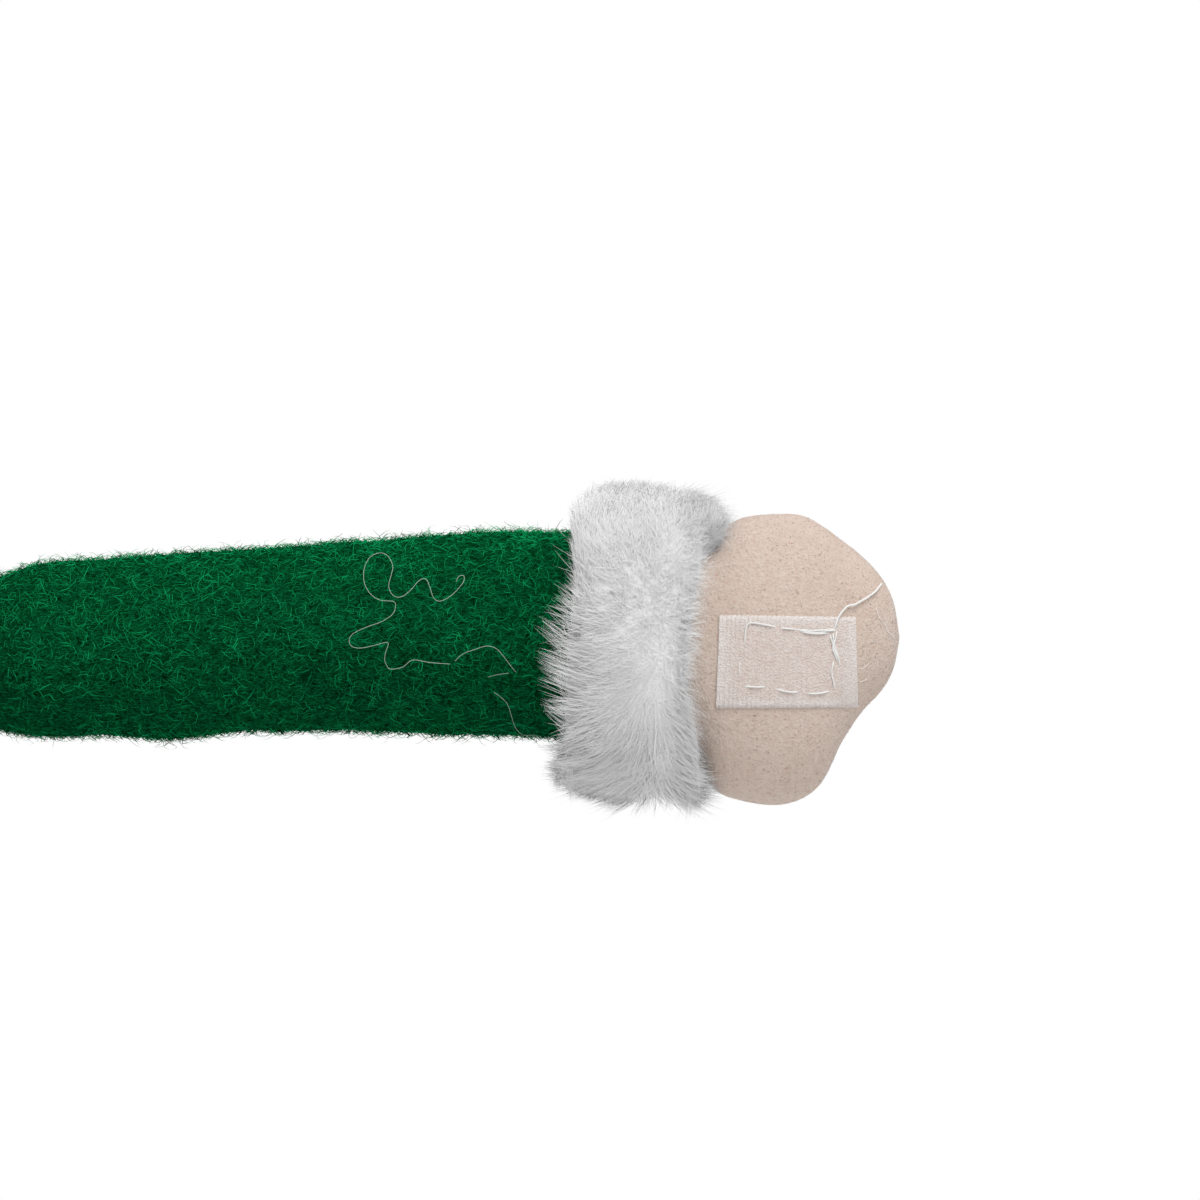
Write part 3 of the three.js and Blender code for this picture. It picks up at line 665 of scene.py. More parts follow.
def fibres(name, lines, width, tone, up, soft, sides=3):
    """Mesh object of fibres, each along a line of places, three-sided and tapering to a point. Soft
    ones turn a flat side outwards. Normals lean by the soft share towards that side, or towards those
    of the surface where it stands on end, because light goes through fine fibres and evens them out.
    Each fibre carries its tone and how far along it a place is, and has its own cell in the OFBake map."""
    count, steps = lines.shape[0], lines.shape[1] - 1
    heading = unit(np.gradient(lines, axis=1))
    first = np.cross(heading, up[:, None])
    lying = np.linalg.norm(first, axis=-1, keepdims=True)
    first = unit(first)
    second = np.cross(first, heading)
    even = lying * second + (1 - lying) * up[:, None]
    turn = np.pi / 2 * (-1 if soft > 0.8 else 1) + 2 * np.pi * np.arange(sides) / sides
    taper = (1 - 0.75 * (np.arange(steps) / steps) ** 1.5)[None, :, None, None]
    half = 0.5 * np.broadcast_to(width, count)[:, None, None, None] * taper
    out = np.cos(turn)[:, None] * first[:, :-1, None] + np.sin(turn)[:, None] * second[:, :-1, None]
    rings = lines[:, :-1, None] + half * out
    corners = np.concatenate([rings.reshape(count, -1, 3), lines[:, -1:]], 1)
    sides_even = unit(soft * even[:, :-1, None] + (1 - soft) * out).reshape(count, -1, 3)
    normals = np.concatenate([sides_even, unit(even[:, -1:])], 1)
    each = corners.shape[1]
    ring, after = np.arange(sides), (np.arange(sides) + 1) % sides
    band = np.stack([ring, after, after + sides, ring + sides], -1)
    quads = np.concatenate([band + step * sides for step in range(steps - 1)])
    last = (steps - 1) * sides
    tips = np.stack([last + ring, last + after, np.full(sides, each - 1)], -1)
    base = np.array([[2, 1, 0]])
    start = (np.arange(count) * each)[:, None, None]
    obj = build(
        name,
        corners.reshape(-1, 3),
        (quads + start).reshape(-1, 4),
        (np.concatenate([tips, base]) + start).reshape(-1, 3),
    )
    along = np.append(np.repeat(np.arange(steps) / steps, sides), 1)
    write_values(obj, "along", np.tile(along, count))
    write_values(obj, "tone", np.repeat(tone, each))
    own_cells(obj, count, steps, sides)
    obj.data.normals_split_custom_set_from_vertices(normals.reshape(-1, 3).astype(np.float32))
    return obj


def own_cells(obj, count, steps, sides):
    """Map in which every fibre fills its own square cell: its sides lie next to each other, root at
    the bottom and tip at the top, with the small root face in a strip below them."""
    low, high = 0.22, 0.97
    level = low + (high - low) * np.arange(steps + 1) / steps
    left = 0.05 + 0.9 * np.arange(sides) / sides
    right = 0.05 + 0.9 * (np.arange(sides) + 0.94) / sides
    across = list(zip(left, right))
    quad = [
        [(a, below), (b, below), (b, above), (a, above)]
        for below, above in zip(level[:-2], level[1:-1]) for a, b in across
    ]
    tip = [[(a, level[-2]), (b, level[-2]), ((a + b) / 2, level[-1])] for a, b in across]
    root = [[(0.5, 0.16), (0.9, 0.04), (0.1, 0.04)]]
    wide = int(np.ceil(np.sqrt(count)))
    cell = np.stack([np.arange(count) % wide, np.arange(count) // wide], -1)
    parts = []
    for group in (quad, tip + root):
        marks = np.asarray(group, float).reshape(-1, 2)
        parts.append(((cell[:, None] + marks[None]) / wide).reshape(-1, 2))
    corners = np.concatenate(parts)
    layer = obj.data.uv_layers.new(name="OFBake")
    layer.data.foreach_set("uv", corners.astype(np.float32).ravel())


def pile(name, shape, count, length, width, seed, comb=None, lift=(50, 12), mess=0.25, steps=3,
         clumps=0, pull=0.45, uneven=0.2, keep=None, turn=0.0, root=0.25, soft=0.4, spread=0.16,
         ruffle=9, even=None, shade=0.0):
    """Pile of fibres on a shape. Each leans from the normal towards its combed direction by an angle
    above the surface that goes from the first lift to the second, more or less by the ruffle, bends
    sideways by a random turn, and its tip is pulled towards that of the nearest leading fibre. Normals
    are those of the surface or of a given even direction, and the shade share paints shade as a darker
    tone on fibres where the surface looks down."""
    random = np.random.default_rng(seed)
    place, normal, round_, u, v = scatter(shape, count, random, keep)
    if comb is None:
        angle = 2 * np.pi * random.random(count)
        flow = np.cos(angle)[:, None] * round_ + np.sin(angle)[:, None] * np.cross(normal, round_)
    else:
        flow = comb(place, normal, u, v)
    flow = flow + mess * random.normal(size=(count, 3))
    flow = unit(flow - np.sum(flow * normal, -1, keepdims=True) * normal)
    beside = np.cross(normal, flow)
    bend = turn * random.normal(size=count)
    size = length(place, normal, u, v) if callable(length) else length
    size = size * (1 + uneven * random.normal(size=count)).clip(0.35, 1.7)
    tilt = random.normal(size=count) * ruffle
    low, high, pull = (part(place, normal, u, v) if callable(part) else part for part in (*lift, pull))
    line = [place - normal * root]
    for step in range(steps):
        part = (step + 0.35) / steps
        up = np.radians(low + (high - low) * part**0.8 + tilt)[:, None]
        sway = (bend * (part - 0.5))[:, None]
        heading = np.cos(sway) * flow + np.sin(sway) * beside
        heading = unit(np.cos(up) * heading + np.sin(up) * normal)
        line.append(line[-1] + heading * (size / steps)[:, None])
    lines = np.stack(line, 1)
    if clumps:
        leader = random.choice(count, clumps, replace=False)
        nearest = np.concatenate([
            np.argmin(((part[:, None] - place[leader][None]) ** 2).sum(-1), 1)
            for part in np.array_split(place, count // 1000 + 1)
        ])
        shift = lines[leader, -1][nearest] - place[leader][nearest] * 0.25 - place * 0.75
        shift = shift - (lines[:, -1] - place)
        share = (np.arange(steps + 1) / steps) ** 1.6
        lines = lines + np.reshape(pull, (-1, 1, 1)) * share[None, :, None] * shift[:, None]
    tone = 0.5 + spread * random.normal(size=count) + 0.12 * noise(place, 6, seed)
    # Painted shade: a darker tone for fibres where the surface looks down
    tone = (tone + shade * np.minimum(normal[:, 2], 0)).clip(0, 1)
    thick = width * (1 + 0.2 * random.normal(size=count)).clip(0.6, 1.5)
    return fibres(name, lines, thick, tone, even(place) if even else normal, soft)


# Materials

class Amount:
    """A value that changes over a surface. Arithmetic on it adds Math nodes to its finish."""

    def __init__(self, finish, socket):
        self.finish = finish
        self.socket = socket

    def math(self, operation, *values, clamp=False):
        settings = {"operation": operation, "use_clamp": clamp}
        node = self.finish.node("Math", settings, dict(enumerate(values)))
        return Amount(self.finish, node.outputs[0])

    def __add__(self, other):
        return self.math("ADD", self, other)

    def __sub__(self, other):
        return self.math("SUBTRACT", self, other)

    def __rsub__(self, other):
        return self.math("SUBTRACT", other, self)

    def __mul__(self, other):
        return self.math("MULTIPLY", self, other)

    __radd__ = __add__
    __rmul__ = __mul__

    def largest(self, other):
        return self.math("MAXIMUM", self, other)

    def clamped(self):
        return self.math("ADD", self, 0, clamp=True)

    def above(self, low, high):
        """0 below low and 1 above high, straight in between."""
        return self.math("MULTIPLY", self - low, 1 / (high - low), clamp=True)


class Finish:
    """A material on the Principled shader, with constants set on its sockets."""

    def __init__(self, name, **constants):
        self.material = bpy.data.materials.new(name)
        self.material.use_nodes = True
        self.tree = self.material.node_tree
        self.tree.nodes.clear()
        self.shader = self.node("BsdfPrincipled")
        for title, value in constants.items():
            self.shader.inputs[title.replace("_", " ")].default_value = value
        self.node("OutputMaterial", sockets={"Surface": self.shader.outputs[0]})
        self.place = self.node("TexCoord").outputs["Object"]

    def node(self, kind, settings=None, sockets=None):
        """A node of a type, with its settings and then the values or links of its sockets."""
        node = self.tree.nodes.new("ShaderNode" + kind)
        for title, value in (settings or {}).items():
            setattr(node, title, value)
        for title, value in (sockets or {}).items():
            value = value.socket if isinstance(value, Amount) else value
            if isinstance(value, bpy.types.NodeSocket):
                self.tree.links.new(value, node.inputs[title])
            else:
                node.inputs[title].default_value = value
        return node

    def noise(self, size, detail=2.0, stretch=(1, 1, 1), turn=(0, 0, 0)):
        """Blender's noise with features of a size in millimetres, stretched along turned axes."""
        scale = [1 / part for part in stretch]
        where = self.node("Mapping", {"vector_type": "POINT"}, {
            "Vector": self.place, "Rotation": turn, "Scale": scale,
        }).outputs[0]
        node = self.node("TexNoise", None, {"Vector": where, "Scale": 1 / (size * MM), "Detail": detail})
        return Amount(self, node.outputs["Fac"])

    def attribute(self, title):
        return Amount(self, self.node("Attribute", {"attribute_name": title}).outputs["Fac"])

    def near(self, centre, low, high):
        """1 inside the first distance of a place, in millimetres, and 0 past the second."""
        middle = tuple(part * MM for part in centre)
        node = self.node("VectorMath", {"operation": "DISTANCE"}, {0: self.place, 1: middle})
        return 1 - Amount(self, node.outputs["Value"]).above(low * MM, high * MM)

    def mix(self, first, second, share):
        """Blend of two colours, each a value or a socket."""
        first, second = (
            (*colour, 1) if isinstance(colour, tuple) else colour for colour in (first, second)
        )
        node = self.node("Mix", {"data_type": "RGBA"}, {0: share, 6: first, 7: second})
        return node.outputs[2]

    def colour(self, colour):
        self.tree.links.new(colour, self.shader.inputs["Base Color"])

    def bump(self, height, depth):
        """Bump of a height from 0 to 1 over a depth in millimetres."""
        node = self.node("Bump", None, {"Height": height, "Distance": depth * MM, "Strength": 1.0})
        self.tree.links.new(node.outputs[0], self.shader.inputs["Normal"])


def web(finish, size):
    """Web of crossing fibres: the largest of four noises, each stretched along its own direction."""
    turns = ((0, 0.5, 0.2), (0, -0.7, 0.3), (0.3, 1.4, -0.2), (-0.2, 2.3, 0.5))
    layers = [finish.noise(size, 1.0, (5, 1, 1), turn) for turn in turns]
    found = layers[0]
    for layer in layers[1:]:
        found = found.largest(layer)
    return found.above(0.5, 0.74)


def felt(name, painted_pit_shade, dark, light):
    """Matted felt: a web of lighter fibres over darker pits, whose dark colour is painted shade in the
    hollows between the fibres.
    """
    finish = Finish(name, Roughness=1.0, Specular_IOR_Level=0.0)
    strand = web(finish, 0.26)
    mottle = finish.noise(2.4).above(0.3, 0.7)
    # Painted shade: the pit colour is mixed in patches by noise as the shade of the hollows
    ground = finish.mix(painted_pit_shade, dark, finish.noise(0.7).above(0.35, 0.65))
    ground = finish.mix(ground, light, strand * (0.45 + mottle * 0.5))
    finish.colour(ground)
    finish.bump(strand + finish.noise(0.8) * 1.2, 0.5)
    return finish.material


def fibre(name, root, tip, rough=0.9, blush=False):
    """Single fibres: darker at the root, which is painted shade low in the pile, lighter at the tip, and
    no two alike.
    """
    finish = Finish(name, Roughness=rough, Specular_IOR_Level=0.0)
    # Painted shade: the colour runs from the darker root to the lighter tip along each fibre
    share = (finish.attribute("along") * 0.55 + finish.attribute("tone") * 0.9 - 0.25).clamped()
    colour = finish.mix(root, tip, share)
    finish.colour(cheeks(finish, colour) if blush else colour)
    return finish.material


def fur_backing(name, root, tip):
    """Knitted backing of the fur, seen between the strands."""
    finish = Finish(name, Roughness=0.95, Specular_IOR_Level=0.1)
    finish.colour(finish.mix(root, tip, finish.noise(1.6).above(0.25, 0.75)))
    finish.bump(finish.noise(0.6), 0.5)
    return finish.material


def cheeks(finish, colour):
    """A little rose on the cheeks."""
    for side in (-1, 1):
        cheek = (side * 27, float(face_depth(27, -15)), HEAD_MIDDLE - 15)
        colour = finish.mix(colour, CHEEK, finish.near(cheek, 3, 15) * 0.5)
    return colour


def plush(name, dark, light, blush=False):
    """Short plush that is mottled where its pile lies different ways."""
    finish = Finish(name, Roughness=0.9, Sheen_Weight=0.15, Sheen_Roughness=0.5, Specular_IOR_Level=0.2)
    mottle = finish.noise(1.5, 3.0).above(0.32, 0.68)
    pore = finish.noise(0.55, 1.0).above(0.3, 0.62)
    broad = finish.noise(14, 1.0) + finish.noise(4.5, 1.0)
    share = mottle * 0.35 + pore * 0.25 + broad * 0.35 - 0.12
    colour = finish.mix(dark, light, share.clamped())
    colour = finish.mix(colour, SKIN_SPECK, finish.noise(1.1, 1.0).above(0.69, 0.77) * 0.5)
    finish.colour(cheeks(finish, colour) if blush else colour)
    finish.bump(pore + mottle * 0.8, 0.1)
    return finish.material


def tape_finish(name):
    """Thin translucent nylon tape over plush: milky along its border, with the skin showing in
    blotches and most inside the stitches, where it is pressed down."""
    finish = Finish(name, Roughness=0.45, Specular_IOR_Level=0.4)
    blotch = finish.noise(1.3, 3.0).above(0.35, 0.65)
    loops = finish.noise(0.4, 1.0).above(0.35, 0.62)
    milk = blotch * 0.35 + loops * 0.35 + finish.attribute("border") * 0.5
    finish.colour(finish.mix(TAPE_CLEAR, TAPE_MILKY, milk.clamped()))
    finish.bump(loops, 0.12)
    return finish.material


def plain(name, colour, rough, **constants):
    finish = Finish(name, Roughness=rough, **constants)
    finish.shader.inputs["Base Color"].default_value = (*colour, 1)
    return finish.material


green_felt = felt("green felt", GREEN_PIT_PAINTED_SHADE, GREEN_DARK, GREEN_LIGHT)
green_fibre = fibre("green felt fibre", GREEN_PIT_PAINTED_SHADE, GREEN_FIBRE)
green_bright = fibre("bright green felt fibre", GREEN_DARK, GREEN_STRAY)
brown_felt = felt("brown felt", BROWN_PIT_PAINTED_SHADE, BROWN_DARK, BROWN_LIGHT)
brown_fibre = fibre("brown felt fibre", BROWN_DARK, BROWN_FIBRE, 0.8)
sole_felt = felt("sole felt", SOLE_PIT_PAINTED_SHADE, SOLE_DARK, SOLE_LIGHT)
fur_back = fur_backing("fur backing", WHITE_BACK_DARK, WHITE_BACK_LIGHT)
fur_fibre = fibre("fur fibre", WHITE_ROOT, WHITE_TIP, 0.75)
skin = plush("skin plush", SKIN_DARK, SKIN_LIGHT)
skin_fibre = fibre("skin plush fibre", SKIN_LIGHT, SKIN_FIBRE)
face_skin = plush("face plush", SKIN_DARK, SKIN_LIGHT, blush=True)
face_fibre = fibre("face plush fibre", SKIN_LIGHT, SKIN_FIBRE, blush=True)
nose_plush = plush("nose plush", NOSE_DARK, NOSE_LIGHT)
nose_fibre = fibre("nose plush fibre", NOSE_DARK, NOSE_FIBRE)
tape = tape_finish("tape")
white_thread = plain("white thread", WHITE_THREAD, 0.6)
grey_thread = plain("loose grey thread", GREY_THREAD, 0.6)
brown_thread = plain("brown thread", BROWN_THREAD, 0.6)
red_thread = plain("red thread", RED_THREAD, 0.6)
bead = plain("black bead", BEAD, 0.08, Coat_Weight=1.0, Coat_Roughness=0.03)
filling = plain("filling fibre", FILLING, 0.95)


def dress(obj, body, material, node=None):
    """Gives a piece its material, the body it rides on and the node it stands for."""
    obj.data.materials.append(material)
    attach(obj, body)
    if node:
        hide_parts(node)


def between(low, high=np.inf):
    """Keeps fibres between two heights."""
    return lambda place, normal, u, v: (place[:, 2] > low) & (place[:, 2] < high)


def felt_nap(name, body, shape, *fibre, slot="green_felt", material=green_fibre, **style):
    """Nap of a felt piece that is seen from further off than the sleeves."""
    nap = pile(name, shape, *fibre, lift=(24, -8), turn=1.9, steps=2, uneven=0.3, root=0.12, **style)
    dress(nap, body, material)


def plush_nap(name, shape, *fibre, slot="skin_plush", material=face_fibre, lift=(34, 10), keep=None):
    """Short nap of the head's plush pieces."""
    nap = pile(name, shape, *fibre, lift=lift, turn=0.8, steps=2, keep=keep, root=0.1, soft=0.6)
    dress(nap, "head", material)


def fur_trim(body, node, core, backing, fur, *fibre, **style):
    """White fur trim: its backing, which stands for a node, and the fur that grows on it."""
    dress(surface(core, backing), body, fur_back, node)
    grown = pile(fur, backing[0], *fibre, steps=2, spread=0.1, **style)
    dress(grown, body, fur_fibre)


# Fur of the trims: where it grows, how it is combed and how it stands

def downwards(place, normal, u, v):
    """Falls down the sides and lies outwards where it stands on top."""
    return np.array((0, 0, -1)) + 0.35 * normal * np.array((1, 1, 0))


def in_cuff(side, place):
    """Along the arm from the cuff's middle, and height from the arm's middle as a share."""
    return side * place[:, 0] - SHOULDER_X - CUFF_MIDDLE, (place[:, 2] - SHOULDER_Z - 5) / 32


def from_arm(place):
    """Straight out from the arm's middle line, and less so downwards: light that goes through the fur
    evens out its edges and its underside."""
    out = unit((place - in_arm(1, 0, 0, arm_middle(CUFF_MIDDLE))) * (0, 1, 1))
    return unit(out * np.where(out < 0, (1, 1, 0.35), 1))


def evened(obj):
    """Leans the normals of the cuff's backing straight out from the arm, like those of its fur."""
    normal = vertex_values(obj, "normal")
    out = from_arm(vertex_values(obj, "co") / MM)
    share = 0.9 * np.clip(np.sum(out * normal, -1, keepdims=True) + 0.6, 0, 1)
    leaning = unit(share * out + (1 - share) * normal)
    obj.data.normals_split_custom_set_from_vertices(leaning.astype(np.float32))
    return obj


def cuff_comb(side):
    def comb(place, normal, u, v):
        """Fans out from a parting at the hand's side, halfway up the front and the back: up and down
        over the edges, over the hand beside it, and slightly upwards over the sleeve, except in the
        upper part."""
        along, high = in_cuff(side, place)
        sideways = (along - 9.5 + 4 * noise(place, 13, 60)) / 14
        sideways = sideways * (0.15 + 0.85 * np.clip((0.34 - high) / 0.3, 0, 1))
        sideways = sideways + 0.5 * np.clip(-high, 0, 1) * (along > 6)
        sideways = sideways + 0.9 * np.clip((along - 6) / 6, 0, 1) * (1 - 0.5 * np.clip(3 * high, 0, 1))
        upwards = 1.15 * high * (1 - 0.6 * (along > 9) * hump(high, 0.62, 0.26))
        upwards = upwards - 0.02 + 1.2 * hump(along, -14, 9) * hump(high, -0.3, 0.35)
        sideways = sideways + 0.3 * noise(place, 9, 61) + 0.2 * noise(place, 4, 62)
        flow = places(side * sideways, 0, upwards + 0.2 * noise(place, 5, 63))
        return flow * (0.9 + 0.7 * np.clip(-2 * high, 0, 1))[:, None]
    return comb


def cuff_length(side):
    def length(place, normal, u, v):
        """Longest where the strands spill over the sleeve, hang down or reach over the top of the hand,
        and short on top."""
        along, high = in_cuff(side, place)
        spill = np.clip((-along - 5) / 5, 0, 1) * hump(high, -0.15, 0.45)
        hang = np.clip(-high - 0.4, 0, 0.6) * (0.5 + np.clip((along + 2) / 8, 0, 1))
        edge = np.clip((along - 8) / 4, 0, 1)
        near = edge * (1.6 * hump(high, 1.1, 0.16) - 1.8 * hump(high, 0.55, 0.22))
        return 6 + 6.5 * spill + near + 5 * hang - 2.4 * np.clip(high - 0.45, 0, 0.6)
    return length


def rising(side, bottom, low, front, top):
    def lift(place, normal, u, v):
        """Angle above the surface at the lower edge, above it, in front and at the upper edge."""
        high = in_cuff(side, place)[1]
        return np.interp(high, (-1.12, -0.8, -0.15, 0.28, 0.98), (bottom, low, front, front, top))
    return lift


def tufted(side, most):
    def pull(place, normal, u, v):
        """Share by which strands gather in tufts: most in the lower half and over the sleeve."""
        along, high = in_cuff(side, place)
        share = np.clip(-0.1 - 2 * high + 1.2 * (along < -6) * (high < 0.4), 0.06, 1.2)
        return most * share * (1 - 0.6 * np.clip((-high - 0.8) / 0.2, 0, 1))
    return pull


def outside(place, normal, u, v):
    """Keeps fibres off the inner half of a looped band."""
    return np.sin(2 * np.pi * u) > -0.12


# Arms

def photo_place(px, py, depth):
    """Place on the arm that the photograph shows at a point of its 1200 by 1200 frame, for a depth in
    front of the arm's middle plane: what is nearer to the camera is seen larger."""
    nearer = 1 - depth / CAMERA_DISTANCE
    across, up = PIXEL * (px - 600) * nearer, PIXEL * (600 - py) * nearer
    return CAMERA_X + across, CAMERA_Z + up


TAPE_RIBS = 31
# Corners of the tape in the photograph, clockwise from its upper left
TAPE_CORNERS = ((719.3, 615), (855.9, 617), (858.1, 707.5), (715.6, 708.5))


def on_arm(px, py, lift, depth, depth_at):
    """Place at a point of the photograph, lifted off the arm. The depth is worked out anew from the
    place that it gives, three times over."""
    depth = np.full(np.shape(px), depth)
    for _ in range(3):
        x, z = photo_place(px, py, depth)
        depth = depth_at(x - SHOULDER_X, z - SHOULDER_Z)
    return places(x, BODY_Y - depth - lift, z)


def on_palm(px, py, lift):
    return on_arm(px, py, lift, 16.0, palm_depth)


def on_sleeve(px, py, lift):
    return on_arm(px, py, lift, 18.0, sleeve_depth)


def patch(side):
    def shape(u, v):
        """Slab between two sheets that follow the palm: the corners of the tape blended straight,
        with ribs across it, a raised edge thread at both ends and a wavy edge. The first half of v
        is its front and the second its back, inside the palm."""
        loop = v * 4
        edge = np.clip(np.stack([loop, 4 - loop]), 0, 1).min(0)
        front = loop < 2
        share = np.where(front, loop / 2, (4 - loop) / 2)
        share = np.clip((share - 0.04) / 0.92, 0, 1)
        first, second, third, fourth = np.array(TAPE_CORNERS)
        left = first + (fourth - first) * share[..., None]
        right = second + (third - second) * share[..., None]
        at = left + (right - left) * u[..., None]
        rib = np.cos(2 * np.pi * TAPE_RIBS * u)
        rim = np.clip(edge / 0.08, 0, 1)
        border = 0.25 + 0.75 * hump(share, 0, 0.2) + 0.75 * hump(share, 1, 0.2)
        lift = 0.26 + 0.09 * rib * border + 0.12 * (hump(u, 0.012, 0.012) + hump(u, 0.988, 0.012))
        at[..., 1] = at[..., 1] + 0.9 * (1 - rim) * rib * 0.6
        found = on_palm(at[..., 0], at[..., 1], np.where(front, lift * rim + 0.12, -0.5))
        return found * (side, 1, 1)
    return shape


def mark_border(strip):
    """Writes on the tape how near to its border a place is, from 0 inside the stitches to 1."""
    across, up = vertex_values(strip, "co")[:, [0, 2]].T
    shares = [np.abs(part - (part.min() + part.max()) / 2) * 2 / np.ptp(part) for part in (across, up)]
    near = np.clip(np.maximum(*shares) * 4 - 2.7, 0, 1)
    write_values(strip, "border", near)


# Threads on the arm: radius and points in the photograph
STITCHES = [
    (0.20, ((744.2, 644.3), (745, 635.5), (746.5, 626.5), (750, 623), (756.5, 623.4), (766, 625),
            (777, 627))),
    (0.20, ((780, 628.4), (788, 628.6), (798, 629.8))),
    (0.21, ((796, 629.4), (806, 631.4), (815, 632.6), (827, 632.2))),
    (0.20, ((798, 630.6), (809, 633.2), (820, 633.7), (830, 632.6))),
    (0.20, ((800, 629.4), (812, 630.6), (824, 630), (836, 628.8))),
    (0.20, ((818, 631.8), (828, 630.7), (836.5, 630.4))),
    (0.19, ((829.5, 633.5), (832, 642), (834.5, 650), (838.4, 659), (839.4, 667))),
    (0.19, ((833, 632), (833.4, 641), (836, 650), (838, 657), (838.8, 663))),
    (0.18, ((837, 630), (835, 640), (832.6, 648), (835.5, 656), (837.4, 662))),
    (0.19, ((834, 660.4), (831.8, 668.4), (831.9, 676), (833.6, 683), (834, 688))),
    (0.20, ((806.7, 693.2), (814, 693.5), (821.5, 693), (829.4, 691.2))),
    (0.20, ((776.3, 689), (783.7, 691), (791, 692.1), (798.5, 692.2))),
    (0.20, ((743.8, 686.4), (755, 687), (765.8, 686.8))),
    (0.15, ((740.4, 660.4), (739, 669), (738.8, 675))),
]
TAIL = ((834, 630), (836.4, 622), (838.4, 617), (842, 611.6), (847.6, 606), (854.4, 604.6), (861, 601),
        (868, 596.8), (875.6, 591), (881.5, 583.6))
HAIRS = [
    ((876, 607), (878.5, 616), (884, 622), (888, 631), (893, 636), (896, 642)),
    ((868.8, 663), (864, 667.5), (859, 669)),
    ((867.4, 678.4), (863, 681), (859, 682)),
]
LOOSE_THREADS = [
    (0.10, ((456, 582), (459, 576.5), (464, 576), (463, 583), (452, 595), (441, 601), (434, 598),
            (430, 587), (426, 579), (419, 581), (410, 591), (401, 597), (393, 595), (389, 586),
            (391.5, 575), (393, 566), (388, 556), (380, 553), (370, 557.5), (364.5, 569), (364.5, 582),
            (370, 593), (380, 600), (394, 601.6), (395.5, 608), (392, 615), (381, 622), (367, 627),
            (353, 634), (349.5, 641), (352.5, 646.5), (361, 648), (374, 645.5), (388, 642.5),
            (386, 652), (385, 660), (388, 667), (392, 669), (403, 667), (413, 660), (430, 662.4),
            (450, 664))),
    (0.09, ((455, 661), (463, 654), (476, 649), (487.6, 646), (497, 649), (505, 658), (511, 666),
            (516, 672))),
    (0.07, ((488, 677), (498, 674.5), (509, 673))),
    (0.08, ((494, 692), (502, 698), (507.5, 704), (511, 714), (514, 724), (518, 731), (524, 735),
            (533, 735), (541, 736.5))),
]


def smooth_path(points, place, lift, steps=7):
    """Thread through points of the photograph, whose ends dip into what it lies on."""
    fine = through(points, np.linspace(0, 1, steps * (len(points) - 1) + 1))
    ends = np.minimum(np.arange(len(fine)), np.arange(len(fine))[::-1])
    height = lift - 0.5 * np.clip(1 - ends / 4, 0, 1)
    return place(fine[:, 0], fine[:, 1], height)


